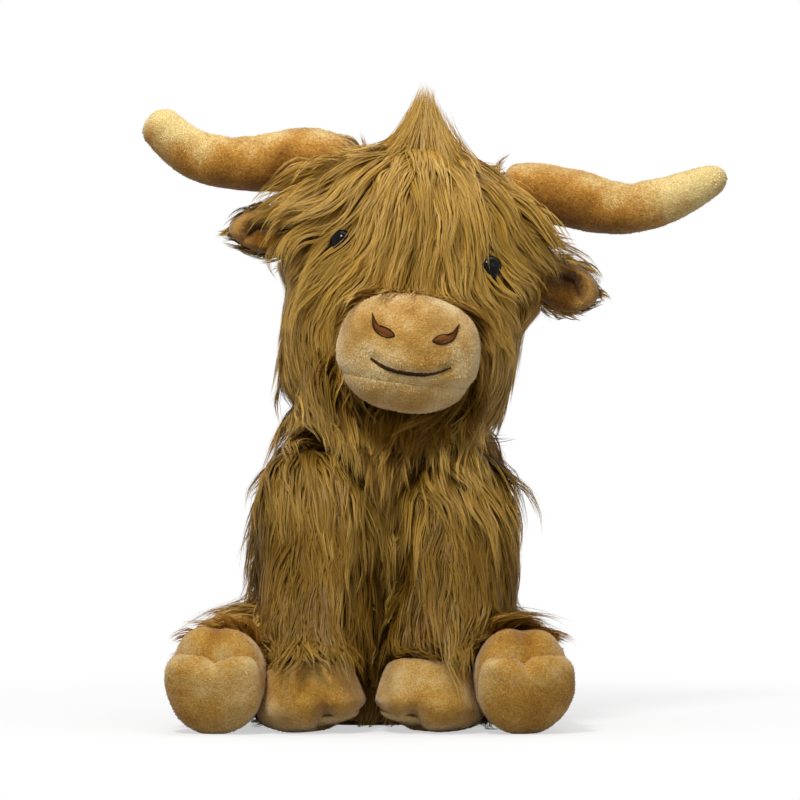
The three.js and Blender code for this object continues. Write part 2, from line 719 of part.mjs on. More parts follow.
function outlinePrism(outline) {
  const geometry = new THREE.ExtrudeGeometry(outline, { depth: 60, bevelEnabled: false, curveSegments: 4 });
  geometry.rotateX(Math.PI / 2);
  geometry.translate(0, -MUZZLE_REACH + 50, 0);
  return solidOf(geometry);
}

// A raised patch of satin stitches that lies on the muzzle inside an outline seen from the front.
function stitchedPatch(outline) {
  const shell = muzzleForm(SEAM_GAP + STITCH_HEIGHT).subtract(muzzleForm(SEAM_GAP));
  return shell.intersect(outlinePrism(outline));
}

function nostrilOutline(side) {
  const outer = new THREE.Vector2(FEATURE_SHIFT + side * NOSTRIL_OUTER.x, NOSTRIL_OUTER.z);
  const inner = new THREE.Vector2(FEATURE_SHIFT + side * NOSTRIL_INNER.x, NOSTRIL_INNER.z);
  const along = inner.clone().sub(outer);
  const below = new THREE.Vector2(side * along.y, -side * along.x).setLength(NOSTRIL_WIDTH);
  const bend = (share, drop) => outer.clone().addScaledVector(along, share).addScaledVector(below, drop);
  const outline = new THREE.Shape();
  outline.moveTo(outer.x, outer.y);
  outline.splineThru([bend(0.3, 0.35), bend(0.65, 0.45), inner.clone()]);
  outline.splineThru([bend(0.8, 1.15), bend(0.45, 1.2), bend(0.12, 0.6), outer.clone()]);
  return outline;
}

function mouthOutline() {
  const steps = 8;
  const outline = [];
  const height = (share) => MOUTH_END_HEIGHT - MOUTH_SAG * (1 - (2 * share - 1) ** 2);
  const edge = (share, rise) => outline.push(new THREE.Vector2(
    FEATURE_SHIFT + (2 * share - 1) * MOUTH_HALF_SPAN, height(share) + rise,
  ));
  for (let i = 0; i <= steps; i += 1) edge(i / steps, -MOUTH_STITCH_WIDTH / 2);
  for (let i = steps; i >= 0; i -= 1) edge(i / steps, MOUTH_STITCH_WIDTH / 2);
  return new THREE.Shape(outline);
}

function addMuzzle() {
  const room = placed(headForm(SEAM_GAP), between(headFrame.matrixWorld, muzzleFrame.matrixWorld));
  const whole = muzzleForm().subtract(room);
  const seam = -CHIN_SEAM_DROP;
  const above = boxSolid(vec(-80, -200, seam + SEAM_GAP / 2), vec(80, 0, 80));
  const below = boxSolid(vec(-80, -200, -80), vec(80, 0, seam - SEAM_GAP / 2));
  addPiece('muzzle', muzzleFrame, whole.intersect(above), shortPile());
  addPiece('chin', muzzleFrame, whole.intersect(below), shortPile());
  SIDES.forEach(([name, side]) => {
    addPiece(`${name}_nostril`, muzzleFrame, stitchedPatch(nostrilOutline(side)), stitching());
  });
  addPiece('mouth_stitching', muzzleFrame, stitchedPatch(mouthOutline()), stitching());
}

// Horns and ears, each in a frame at its root whose +X points away from the head

function rootFrame(side, x, y, height, droop) {
  const frame = frameAt(headFrame, vec(side * x, y, height));
  frame.rotation.order = 'YXZ';
  frame.rotation.set(0, side * droop * DEGREE, side > 0 ? 0 : Math.PI);
  frame.updateWorldMatrix(true, false);
  return frame;
}

const hornDroop = { left: LEFT_HORN_DROOP, right: RIGHT_HORN_DROOP };
const hornFrames = SIDES.map(([name, side]) => (
  [name, side, rootFrame(side, HORN_ROOT_SPACING / 2, 0, HORN_RISE, hornDroop[name])]
));
const earFrames = SIDES.map(([name, side]) => (
  [name, side, rootFrame(side, EAR_ROOT_SPACING / 2, EAR_BACK_SHIFT, EAR_RISE, EAR_DROOP)]
));

// forward is the frame's own Y direction that faces the cow's front.
function hornForm(forward) {
  const swell = swellOf([[0, 1], [0.35, 0.95], [0.7, 0.88], [1, HORN_TIP_RADIUS / HORN_ROOT_RADIUS]]);
  const radius = (share) => HORN_ROOT_RADIUS * swell(share);
  const tube = stuffedForm({
    spine: smooth(
      vec(0, 0, 0),
      vec(HORN_LENGTH * 0.33, forward * HORN_FORWARD_SWEEP * 0.2, -HORN_DIP * 0.7),
      vec(HORN_LENGTH * 0.62, forward * HORN_FORWARD_SWEEP * 0.5, -HORN_DIP),
      vec(HORN_LENGTH, forward * HORN_FORWARD_SWEEP, HORN_TIP_LIFT),
    ),
    across: vec(0, 1, 0),
    halfAcross: radius,
    halfDeep: radius,
    startRound: 0.03,
    endRound: 0.1,
    sides: 14,
    endSteps: 3,
    middleSteps: 8,
  });
  return tube.add(ballSolid(HORN_ROOT_RADIUS, 14));
}

// A root's room in the head: a ball for the root and a cone that opens as far as the piece flexes.
function rootRoom(rootRadius, halfThick, halfTall, flex) {
  const opening = ROOT_ROOM_LENGTH * Math.tan((flex + ROOT_ROOM_SPARE) * DEGREE);
  const cone = stuffedForm({
    spine: line(vec(-ROOT_ROOM_BACK, 0, 0), vec(ROOT_ROOM_LENGTH, 0, 0)),
    across: vec(0, 1, 0),
    halfAcross: (share) => halfThick + FLEX_GAP + (share * opening) / 3,
    halfDeep: (share) => halfTall + FLEX_GAP + share * opening,
    startRound: 0.02,
    endRound: 0.02,
    sides: 14,
    endSteps: 1,
    middleSteps: 1,
  });
  return cone.add(ballSolid(rootRadius + FLEX_GAP, 14));
}

function addHorns() {
  hornFrames.forEach(([name, side, frame]) => {
    addPiece(`${name}_horn`, frame, hornForm(-side), shortPile());
  });
}

function earLeaf() {
  const tall = swellOf([[0, 0.4], [0.5, 1], [1, 0.72]]);
  const leaf = stuffedForm({
    spine: line(vec(0, 0, 0), vec(EAR_LENGTH, 0, 0)),
    across: vec(0, 1, 0),
    halfAcross: () => EAR_THICKNESS / 2,
    halfDeep: (share) => (EAR_HEIGHT / 2) * tall(share),
    startRound: 0.12,
    endRound: 0.35,
    sides: 14,
    endSteps: 2,
    middleSteps: 3,
  });
  return leaf.add(ballSolid(EAR_ROOT_RADIUS, 10));
}

// The hollow in the ear's front, as an egg that lies on the front surface.
function earHollow(forward, grow = 0) {
  const geometry = new THREE.SphereGeometry(1, 14, 8);
  geometry.rotateZ(Math.PI / 2);
  geometry.scale(EAR_LENGTH * 0.38 + grow, EAR_THICKNESS * 0.6 + grow, EAR_HEIGHT * 0.34 + grow);
  geometry.translate(EAR_LENGTH * 0.56, forward * EAR_THICKNESS * 0.56, 0);
  return solidOf(geometry);
}

function addEars() {
  earFrames.forEach(([name, side, frame]) => {
    const forward = -side;
    addPiece(`${name}_ear`, frame, earLeaf().subtract(earHollow(forward)), longPile());
    const lining = earLeaf().intersect(earHollow(forward, -SEAM_GAP))
      .subtract(earHollow(forward, -SEAM_GAP - EAR_LINING_THICKNESS));
    addPiece(`${name}_ear_lining`, frame, lining, shortPile());
  });
}

// Forelock: a wisp with hollow sides that draws up from the crown to a point

function forelockForm() {
  const start = HEAD_TOP - 22;
  const tip = HEAD_TOP + FORELOCK_HEIGHT;
  const swell = swellOf([[0, 1], [0.25, 0.93], [0.42, 0.7], [0.6, 0.36], [0.8, 0.14], [1, 0.07]]);
  return stuffedForm({
    spine: line(vec(0, -FORELOCK_FORWARD, start), vec(-FORELOCK_SHIFT, -FORELOCK_FORWARD, tip)),
    halfAcross: (share) => (FORELOCK_WIDTH / 2) * swell(share),
    halfDeep: (share) => (FORELOCK_DEPTH / 2) * swell(share),
    startRound: 0.04,
    endRound: 0.03,
    sides: 18,
    endSteps: 1,
    middleSteps: 6,
  });
}

function addHead() {
  let head = headForm();
  const ballRoom = NECK_BALL_RADIUS + 2 * NECK_PATCH_THICKNESS + 3 * FLEX_GAP;
  head = head.subtract(ballSolid(ballRoom));
  eyeFrames.forEach(([, frame]) => {
    head = head.subtract(placed(eyeRoom(), between(frame.matrixWorld, headFrame.matrixWorld)));
  });
  const hornRoom = rootRoom(HORN_ROOT_RADIUS, HORN_ROOT_RADIUS, HORN_ROOT_RADIUS, HORN_RAISE);
  const earRoom = rootRoom(EAR_ROOT_RADIUS, EAR_THICKNESS / 2, EAR_HEIGHT / 2, EAR_LOWER);
  [[hornRoom, hornFrames], [earRoom, earFrames]].forEach(([room, frames]) => {
    frames.forEach(([, , frame]) => {
      head = head.subtract(placed(room, between(frame.matrixWorld, headFrame.matrixWorld)));
    });
  });
  addPiece('head', headFrame, head, longPile());
  addPiece('forelock', headFrame, forelockForm().subtract(headForm(SEAM_GAP)), longPile());
}

function addNeckPatches() {
  const bodyPatchRadius = NECK_BALL_RADIUS + FLEX_GAP;
  const headPatchRadius = bodyPatchRadius + NECK_PATCH_THICKNESS + FLEX_GAP;
  const frame = frameAt(cow, headFrame.position);
  addPiece('body_neck_patch', frame, neckPatch(bodyPatchRadius, BODY_PATCH_REACH), backingCloth());
  addPiece('head_neck_patch', frame, neckPatch(headPatchRadius, HEAD_PATCH_REACH), backingCloth());
}

addTorso();
addNeckPatches();
addHead();
addMuzzle();
addEyes();
addHorns();
addEars();
addFrontLeg('front_left', 1);
addFrontLeg('front_right', -1);
addHindLeg('hind_left', 1);
addHindLeg('hind_right', -1);
addTail();

export default cow;
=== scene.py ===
"""Sitting long-haired plush cow: skins, pile, horns, hooves and face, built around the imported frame."""

import json
import logging
import math
from collections.abc import Callable, Sequence
from dataclasses import dataclass, field
from enum import Enum, IntEnum
from functools import cached_property
from typing import ClassVar

import bmesh
import bpy
import numpy as np
from mathutils import Matrix, Vector
from mathutils.bvhtree import BVHTree


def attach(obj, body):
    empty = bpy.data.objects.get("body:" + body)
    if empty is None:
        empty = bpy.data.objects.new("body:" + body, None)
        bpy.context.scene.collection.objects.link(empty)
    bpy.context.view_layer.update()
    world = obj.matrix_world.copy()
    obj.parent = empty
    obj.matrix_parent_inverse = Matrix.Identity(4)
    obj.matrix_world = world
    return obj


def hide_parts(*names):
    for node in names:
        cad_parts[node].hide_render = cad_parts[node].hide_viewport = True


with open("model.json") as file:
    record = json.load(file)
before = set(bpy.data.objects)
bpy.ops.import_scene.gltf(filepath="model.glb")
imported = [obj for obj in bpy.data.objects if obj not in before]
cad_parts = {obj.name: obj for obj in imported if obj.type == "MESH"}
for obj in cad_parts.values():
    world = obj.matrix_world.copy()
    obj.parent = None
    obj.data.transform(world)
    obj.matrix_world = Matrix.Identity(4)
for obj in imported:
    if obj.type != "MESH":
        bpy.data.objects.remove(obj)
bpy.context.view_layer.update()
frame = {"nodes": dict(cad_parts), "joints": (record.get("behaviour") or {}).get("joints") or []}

log = logging.getLogger("plush_cow")

MM = 0.001
SEED = 20817

Array = np.ndarray
Piece = bpy.types.Object
Material = bpy.types.Material
Socket = bpy.types.NodeSocket
Knots = Sequence[tuple[float, float]]
Colour = tuple[float, float, float]
# A comb gives directions and a keep rule says which roots stay, from points and the skin's normals
Comb = Keep = Callable[[Array, Array], Array]
Bend = Stop = Scale = Tone = Callable[[Array], Array]

# No limit, and the waves for each metre in short pile's own unevenness
ANY = math.inf
PILE_GRAIN = 300.0
WARM_SHEEN = {"Sheen_Roughness": 0.4, "Sheen_Tint": (1.0, 0.9, 0.7)}


class Side(Enum):
    """The cow's own left or right, with the sign of its X."""

    LEFT = 1
    RIGHT = -1

    @property
    def word(self) -> str:
        """The side's name, as the frame's nodes have it."""
        return self.name.lower()


class Stream(IntEnum):
    """Where a piece's chance comes from; a piece of one side adds its side's sign, a hoof thrice that."""

    MANTLE = 1
    CHEST = 2
    BELLY = 3
    BACK = 4
    BROW = 11
    CHEEKS = 12
    HEAD_BACK = 13
    FORELOCK = 14
    BEARD = 15
    HORN_COLLAR = 17
    FRONT_LEG = 20
    SHOULDER = 25
    INNER_FLANK = 30
    THIGH = 30
    MUZZLE = 31
    HIND_LEG = 35
    EMBROIDERY = 41
    HORN = 53
    EAR_LINING = 63
    EAR = 70
    FRONT_HOOF = 81
    TAIL = 91
    TAIL_TUFT = 92
    HIND_HOOF = 111


class Noise(IntEnum):
    """Which smooth noise shapes or tones a piece."""

    LEG_LENGTH = 25
    MUZZLE_FORM = 31
    MUZZLE_PILE = 32
    MUZZLE_TONE = 33
    MUZZLE_MOTTLE = 34
    HORN_FORM = 51
    HORN_PILE = 57
    HORN_TONE = 58
    HORN_MOTTLE = 59
    EAR_FORM = 61
    EAR_TONE = 62
    HOOF_PILE = 82
    SOLE_PILE = 84
    SWIRL = 301
    LEAN = 401


def linear(red: int, green: int, blue: int) -> Colour:
    """Turn a colour of 0 to 255 into the linear values that a shader takes.

    Args:
        red: Red of 255.
        green: Green of 255.
        blue: Blue of 255.

    Returns:
        The linear colour.
    """
    toe, slope, offset, whole, power = 11, 12.92, 0.055, 1.055, 2.4
    return tuple(v / 255 / slope if v < toe else ((v / 255 + offset) / whole) ** power
                 for v in (red, green, blue))


# Shader building


@dataclass
class NodeTable:
    """A material's node tree, with short calls for the nodes that the finishes use."""

    name: str
    material: Material = field(init=False)

    def __post_init__(self) -> None:
        """Start an empty material."""
        self.material = bpy.data.materials.new(self.name)
        self.material.use_nodes = True
        self.tree = self.material.node_tree
        self.tree.nodes.clear()
        self.out = self.tree.nodes.new("ShaderNodeOutputMaterial")

    def add(self, kind: str, **inputs: object) -> bpy.types.Node:
        """Add a node and set or link its inputs by name.

        Args:
            kind: The node's Blender type.
            inputs: Values or sockets, by input name with spaces as underscores.

        Returns:
            The new node.
        """
        node = self.tree.nodes.new(kind)
        for key, value in inputs.items():
            self.feed(node.inputs[key.replace("_", " ")], value)
        return node

    def feed(self, socket: Socket, value: object) -> None:
        """Give an input its value.

        Args:
            socket: The input.
            value: Another node's output, a number or a linear colour.
        """
        if isinstance(value, Socket):
            self.tree.links.new(value, socket)
        else:
            socket.default_value = (*value, 1) if isinstance(value, tuple) else value

    @cached_property
    def where(self) -> Socket:
        """The piece's own coordinates, in metres."""
        return self.add("ShaderNodeTexCoord").outputs["Object"]

    def ramp(self, factor: Socket, *stops: tuple[float, Colour]) -> Socket:
        """Colour by a factor, through stops.

        Args:
            factor: What runs from 0 to 1.
            stops: Places with their linear colours.

        Returns:
            The colour socket.
        """
        node = self.tree.nodes.new("ShaderNodeValToRGB")
        elements = node.color_ramp.elements
        while len(elements) < len(stops):
            elements.new(0.5)
        for element, (place, colour) in zip(elements, stops):
            element.position = place
            element.color = (*colour, 1)
        self.tree.links.new(factor, node.inputs["Fac"])
        return node.outputs["Color"]

    def noise(self, scale: float, detail: float, roughness: float = 0.55) -> Socket:
        """Noise over the piece.

        Args:
            scale: Waves for each metre.
            detail: Octaves.
            roughness: How strong the fine octaves are.

        Returns:
            The noise's factor socket.
        """
        node = self.add("ShaderNodeTexNoise", Vector=self.where, Scale=scale, Detail=detail,
                        Roughness=roughness)
        return node.outputs["Fac"]

    def mix(self, factor: object, first: object, second: object, blend: str = "MIX") -> Socket:
        """Mix two colours.

        Args:
            factor: Share of the second, a number or a socket.
            first: A linear colour or a socket.
            second: A linear colour or a socket.
            blend: How they mix.

        Returns:
            The mixed colour's socket.
        """
        node = self.tree.nodes.new("ShaderNodeMix")
        node.data_type = "RGBA"
        node.blend_type = blend
        for place, value in ((0, factor), (6, first), (7, second)):
            self.feed(node.inputs[place], value)
        return node.outputs[2]

    def math(self, operation: str, first: object, second: object) -> Socket:
        """One step of arithmetic.

        Args:
            operation: Blender's name for it.
            first: A number or a socket.
            second: A number or a socket.

        Returns:
            The result's socket.
        """
        node = self.tree.nodes.new("ShaderNodeMath")
        node.operation = operation
        for socket, value in zip(node.inputs, (first, second)):
            self.feed(socket, value)
        return node.outputs[0]

    def bump(self, height: Socket, depth: float, strength: float) -> Socket:
        """A normal bumped by a height of 0 to 1, over a depth in metres, at a strength."""
        node = self.add("ShaderNodeBump", Height=height, Distance=depth, Strength=strength)
        return node.outputs["Normal"]

    def strand_map(self) -> tuple[Socket, Socket]:
        """The strands' own map.

        Returns:
            The sockets of their tone and of the place along each.
        """
        place = self.add("ShaderNodeUVMap")
        place.uv_map = "OFBake"
        parts = self.add("ShaderNodeSeparateXYZ", Vector=place.outputs["UV"])
        return parts.outputs["X"], parts.outputs["Y"]

    def shaded(self, colour: Socket, roughness: float, **inputs: object) -> Material:
        """Close the material with a principled shader, whose other inputs are named as for add."""
        return self.close(self.add("ShaderNodeBsdfPrincipled", Base_Color=colour, Roughness=roughness,
                                   **inputs))

    def close(self, shader: bpy.types.Node) -> Material:
        """Link the shader to the output and hand back the material."""
        self.tree.links.new(shader.outputs[0], self.out.inputs["Surface"])
        return self.material


@dataclass(frozen=True)
class LongPile:
    """Strands of long pile: a map along each strand (V) and across the strands' tones (U)."""

    name: str = "long_pile_strands"
    root: Colour = linear(158, 114, 26)
    middle: Colour = linear(210, 162, 62)
    tip: Colour = linear(244, 202, 112)
    dark_root: Colour = linear(92, 62, 10)
    dark_middle: Colour = linear(118, 83, 14)
    dark_tip: Colour = linear(156, 117, 38)

    def material(self) -> Material:
        """The strands' material, a function of their map alone.

        Returns:
            The material.
        """
        n = NodeTable(self.name)
        tone, along = n.strand_map()
        # Darker at the root and paler at the tip: partly the strands' own colour, partly painted shade deep in
        # the pile and painted highlight at the tips
        light = n.ramp(along, (0.0, self.root), (0.4, self.middle), (1.0, self.tip))
        # The dark ramp is what low tones take: random deep tones, and the painted shade of coats whose painted
        # shading is low
        dark = n.ramp(along, (0.0, self.dark_root), (0.5, self.dark_middle), (1.0, self.dark_tip))
        colour = n.mix(tone, dark, light)
        return n.shaded(colour, 0.4, Specular_IOR_Level=0.19, Sheen_Weight=0.06, Sheen_Roughness=0.4,
                        Sheen_Tint=(1.0, 0.86, 0.6))


@dataclass(frozen=True)
class NapHair:
    """The stubby hairs of short pile, in the tones of the pile below them."""

    name: str
    deep: Colour
    base: Colour
    pale: Colour

    def material(self) -> Material:
        """The hairs' material, a function of their map alone.

        Returns:
            The material.
        """
        n = NodeTable(self.name)
        tone, along = n.strand_map()
        colour = n.ramp(tone, (0.1, self.deep), (0.5, self.base), (0.9, self.pale))
        # Painted shade at each hair's root, fading out toward its tip
        shade = n.ramp(along, (0.0, linear(238, 232, 222)), (0.8, (1.0, 1.0, 1.0)))
        colour = n.mix(1.0, colour, shade, "MULTIPLY")
        return n.shaded(colour, 0.7, Specular_IOR_Level=0.2, Sheen_Weight=0.5, **WARM_SHEEN)


@dataclass(frozen=True)
class FurBacking:
    """The knitted backing that the long pile stands in, coloured dark as painted shade between the strands."""

    name: str = "fur_backing"
    # Dark browns, so that the gaps between strands show painted shade deep in the pile
    deep: Colour = linear(104, 72, 18)
    light: Colour = linear(142, 104, 36)
    knit: float = 900.0

    def material(self) -> Material:
        """The backing's material.

        Returns:
            The material.
        """
        n = NodeTable(self.name)
        fine = n.noise(self.knit, 2.0)
        colour = n.ramp(fine, (0.3, self.deep), (0.75, self.light))
        return n.shaded(colour, 0.95, Normal=n.bump(fine, 0.4 * MM, 0.6))


@dataclass(frozen=True)
class ShortPile:
    """Velvety short pile, pale or deep where its nap leans to the light or away from it."""

    name: str
    deep: Colour
    base: Colour
    pale: Colour
    nap: float = 520.0

    def material(self) -> Material:
        """The short pile's material: the painted nap, broken by fine grain.

        Returns:
            The material.
        """
        n = NodeTable(self.name)
        painted = n.add("ShaderNodeAttribute")
        painted.attribute_name = "nap"
        grain = n.noise(self.nap, 3.0, 0.7)
        fine = n.noise(self.nap * 3.2, 2.0, 0.6)
        lean = n.math("ADD", n.math("MULTIPLY", painted.outputs["Fac"], 0.7),
                      n.math("MULTIPLY", n.math("SUBTRACT", grain, 0.5), 0.62))
        lean = n.math("ADD", lean, 0.15)
        colour = n.ramp(lean, (0.16, self.deep), (0.5, self.base), (0.84, self.pale))
        specks = n.ramp(fine, (0.3, linear(160, 140, 108)), (0.66, (1.0, 1.0, 1.0)))
        colour = n.mix(0.7, colour, specks, "MULTIPLY")
        height = n.math("ADD", n.math("MULTIPLY", grain, 0.6), n.math("MULTIPLY", fine, 0.5))
        return n.shaded(colour, 0.8, Normal=n.bump(height, 1.2 * MM, 0.9), Specular_IOR_Level=0.1,
                        Sheen_Weight=0.8, **WARM_SHEEN)


@dataclass(frozen=True)
class SatinThread:
    """Embroidery thread: a twist along each stitch, with a soft shine."""

    name: str
    dark: Colour
    light: Colour
    twist: float = 2600.0

    def material(self) -> Material:
        """The thread's material.

        Returns:
            The material.
        """
        n = NodeTable(self.name)
        twist = n.noise(self.twist, 2.0)
        colour = n.ramp(twist, (0.3, self.dark), (0.75, self.light))
        return n.shaded(colour, 0.42, Normal=n.bump(twist, 0.2 * MM, 0.5), Specular_IOR_Level=0.12)


@dataclass(frozen=True)
class EyeLacquer:
    """Glossy black of the domed eyes, with a faint brown depth."""

    name: str = "eye_lacquer"
    black: Colour = linear(5, 4, 4)
    brown: Colour = linear(14, 9, 6)

    def material(self) -> Material:
        """The eye's material.

        Returns:
            The material.
        """
        n = NodeTable(self.name)
        colour = n.ramp(n.noise(300.0, 2.0), (0.3, self.black), (0.8, self.brown))
        return n.shaded(colour, 0.05, IOR=1.22)


@dataclass(frozen=True)
class BackingCloth:
    """Woven cotton of the seat panel, the pouch and the neck patches."""

    name: str = "backing_cloth"
    warp: Colour = linear(150, 118, 66)
    weft: Colour = linear(112, 84, 42)
    threads: float = 700.0

    def material(self) -> Material:
        """The cloth's material.

        Returns:
            The material.
        """
        n = NodeTable(self.name)
        bands = []
        for direction in "XY":
            wave = n.add("ShaderNodeTexWave", Vector=n.where, Scale=self.threads)
            wave.bands_direction = direction
            bands.append(wave.outputs["Fac"])
        weave = n.math("MULTIPLY", *bands)
        colour = n.ramp(weave, (0.1, self.weft), (0.8, self.warp))
        return n.shaded(colour, 0.9, Normal=n.bump(weave, 0.2 * MM, 0.6))


@dataclass(frozen=True)
class WasherPlastic:
    """Moulded plastic of the lock washers."""

    name: str = "washer_plastic"
    deep: Colour = linear(222, 218, 206)
    light: Colour = linear(236, 232, 222)

    def material(self) -> Material:
        """The washers' material."""
        n = NodeTable(self.name)
        return n.shaded(n.ramp(n.noise(800.0, 2.0), (0.3, self.deep), (0.8, self.light)), 0.42)


# Shape building


def curve_through(points: Sequence[Sequence[float]], count: int = 240) -> Array:
    """Draw a smooth curve through points, evenly spaced along its length.

    Args:
        points: The points it passes through.
        count: How many points to give back.

    Returns:
        The curve's points.
    """
    p = np.array(points, float)
    if len(p) == 2:
        return p[0] + (p[1] - p[0]) * np.linspace(0, 1, count)[:, None]
    ends = np.vstack([2 * p[0] - p[1], p, 2 * p[-1] - p[-2]])
    t = np.linspace(0, len(p) - 1 - 1e-9, count * 2)
    i = t.astype(int)
    f = (t - i)[:, None]
    a, b, c, d = ends[i], ends[i + 1], ends[i + 2], ends[i + 3]
    dense = 0.5 * (2 * b + (c - a) * f + (2 * a - 5 * b + 4 * c - d) * f ** 2
                   + (3 * b - a - 3 * c + d) * f ** 3)
    length = np.concatenate([[0], np.cumsum(np.linalg.norm(np.diff(dense, axis=0), axis=1))])
    even = np.linspace(0, length[-1], count)
    return np.column_stack([np.interp(even, length, dense[:, k]) for k in range(p.shape[1])])


def along_knots(knots: Knots, share: Array) -> Array:
    """Read a smooth curve through knots at shares of a length."""
    dense = curve_through([(s, v) for s, v in knots], 160)
    return np.interp(share, dense[:, 0], dense[:, 1])


def unit(v: Array) -> Array:
    """Scale each vector to length one."""
    return v / np.maximum(np.linalg.norm(v, axis=-1, keepdims=True), 1e-12)


def scaled(knots: Knots, size: float) -> Knots:
    """Knots with their values multiplied by a size."""
    return [(share, size * value) for share, value in knots]


@dataclass
class StuffedForm:
    """A stuffed form that swells and tapers along a spine, with a rounded pole at each end."""

    spine: Sequence[Sequence[float]]
    half_across: Knots
    half_deep: Knots
    across: Sequence[float] = (1.0, 0.0, 0.0)
    start_round: float = 0.1
    end_round: float = 0.1
    squareness: float = 2.0
    dent: Scale | None = None

    def grid(self, along: int, around: int) -> Array:
        """Points of the surface.

        Args:
            along: Rings from pole to pole.
            around: Points on each ring.

        Returns:
            An array of rings, points and coordinates.
        """
        t = np.linspace(0, 1, along)
        ends = self.start_round + self.end_round
        cut = np.array([0.22, 0.78]) if ends > 0.25 else np.array([0.15, 0.85])
        turn_in = np.clip(t / cut[0], 0, 1) * math.pi / 2
        turn_out = np.clip((1 - t) / (1 - cut[1]), 0, 1) * math.pi / 2
        share = np.where(
            t < cut[0], self.start_round * (1 - np.cos(turn_in)),
            np.where(t > cut[1], 1 - self.end_round * (1 - np.cos(turn_out)),
                     self.start_round + (t - cut[0]) / (cut[1] - cut[0]) * (1 - ends)))
        fill = np.sin(turn_in) * np.sin(turn_out)
        line = curve_through(self.spine)
        steps = np.linspace(0, 1, len(line))
        centre = np.column_stack([np.interp(share, steps, line[:, k]) for k in range(3)])
        slope = np.gradient(line, axis=0)
        tangent = unit(np.column_stack([np.interp(share, steps, slope[:, k]) for k in range(3)]))
        deep = unit(np.cross(tangent, np.array(self.across, float)))
        side = np.cross(deep, tangent)
        angle = np.linspace(0, 2 * math.pi, around, endpoint=False)
        c, s = np.cos(angle), np.sin(angle)
        reach = (np.abs(c) ** self.squareness + np.abs(s) ** self.squareness) ** (-1 / self.squareness)
        size = fill[:, None] * reach[None, :]
        if self.dent is not None:
            size = size * self.dent(angle[None, :])
        wide = along_knots(self.half_across, share)[:, None] * size * c
        thick = along_knots(self.half_deep, share)[:, None] * size * s
        return (centre[:, None, :] + side[:, None, :] * wide[..., None]
                + deep[:, None, :] * thick[..., None])


def moved(points: Array, matrix: Matrix) -> Array:
    """Carry points, in any array shape that ends in 3, from a frame into the frame around it."""
    m = np.array(matrix, float)
    return points @ m[:3, :3].T + m[:3, 3]


def turned(vectors: Array, matrix: Matrix) -> Array:
    """Turn vectors from a frame into the frame around it."""
    return vectors @ np.array(matrix, float)[:3, :3].T


def mesh_object(name: str, points: Array, faces: Sequence[Sequence[int]]) -> Piece:
    """Make a smooth-shaded mesh object at the origin.

    Args:
        name: The piece's name.
        points: Its vertices, in metres.
        faces: Its faces as vertex numbers.

    Returns:
        The new object.
    """
    mesh = bpy.data.meshes.new(name)
    mesh.from_pydata([tuple(p) for p in points], [], [tuple(f) for f in faces])
    mesh.validate()
    mesh.polygons.foreach_set("use_smooth", np.ones(len(mesh.polygons), bool))
    obj = bpy.data.objects.new(name, mesh)
    bpy.context.scene.collection.objects.link(obj)
    return obj


def ring_faces(rings: int, around: int) -> list[tuple[int, ...]]:
    """Faces of a surface of rings, with a fan at each pole.

    Args:
        rings: How many rings, of which the first and last are poles of one point each.
        around: Points on each ring.

    Returns:
        The faces; vertex 0 is the first pole and the last vertex is the other.
    """
    faces: list[tuple[int, ...]] = []
    inner = rings - 2
    last = 1 + inner * around
    for j in range(around):
        k = (j + 1) % around
        faces.append((0, 1 + k, 1 + j))
        faces.append((last, last - around + j, last - around + k))
        for i in range(inner - 1):
            a, b = 1 + i * around + j, 1 + i * around + k
            faces.append((a, b, b + around, a + around))
    return faces


def form_object(name: str, grid: Array) -> Piece:
    """Make a closed object from a form's grid.

    Args:
        name: The piece's name.
        grid: The form's points; the first and last rings are its poles.

    Returns:
        The new object, with its faces outward.
    """
    rings, around = grid.shape[:2]
    points = np.vstack([grid[0].mean(0)[None], grid[1:-1].reshape(-1, 3), grid[-1].mean(0)[None]])
    obj = mesh_object(name, points, ring_faces(rings, around))
    outward(obj)
    return obj


def outward(obj: Piece) -> None:
    """Turn a closed mesh's faces outward.

    Args:
        obj: The piece.
    """
    bm = bmesh.new()
    bm.from_mesh(obj.data)
    bmesh.ops.recalc_face_normals(bm, faces=bm.faces)
    bm.to_mesh(obj.data)
    bm.free()


def smooth_noise(points: Array, scale: float, seed: int, octaves: int = 2) -> Array:
    """Smooth random heights at points, about -1 to 1.

    Args:
        points: Where, in metres.
        scale: Waves for each metre.
        seed: Which noise.
        octaves: How many finer layers.

    Returns:
        One height for each point.
    """
    waves, loudest = 6, 4.0
    rng = np.random.default_rng(seed)
    total = np.zeros(points.shape[:-1])
    weight = 1.0
    for octave in range(octaves):
        for _ in range(waves):
            way = unit(rng.normal(size=3)) * scale * 2 ** octave * rng.uniform(0.6, 1.4)
            total += weight * np.sin(points @ way * 2 * math.pi + rng.uniform(0, 2 * math.pi))
        weight *= 0.5
    return total / loudest


def grid_normals(grid: Array) -> Array:
    """Outward normals of a grid whose rings close on themselves.

    Args:
        grid: Rings, points and coordinates.

    Returns:
        Unit normals in the grid's shape.
    """
    along = np.gradient(grid, axis=0)
    around = np.roll(grid, -1, axis=1) - np.roll(grid, 1, axis=1)
    normal = unit(np.cross(around, along))
    centre = grid.mean(axis=1, keepdims=True)
    inward = np.sum((grid - centre) * normal, axis=-1).mean() < 0
    return -normal if inward else normal


def grid_quads(rings: int, around: int) -> Array:
    """Faces of a grid whose rings close on themselves.

    Args:
        rings: How many rings.
        around: Points on each ring.

    Returns:
        Four point numbers for each face.
    """
    number = np.arange(rings * around).reshape(rings, around)
    beside = np.roll(number, -1, axis=1)
    return np.stack([number[:-1], beside[:-1], beside[1:], number[1:]], axis=-1).reshape(-1, 4)


def raised(grid: Array, height: Array) -> Array:
    """Move a grid's points out along its normals by a height for each."""
    return grid + grid_normals(grid) * height[..., None]


# Long pile


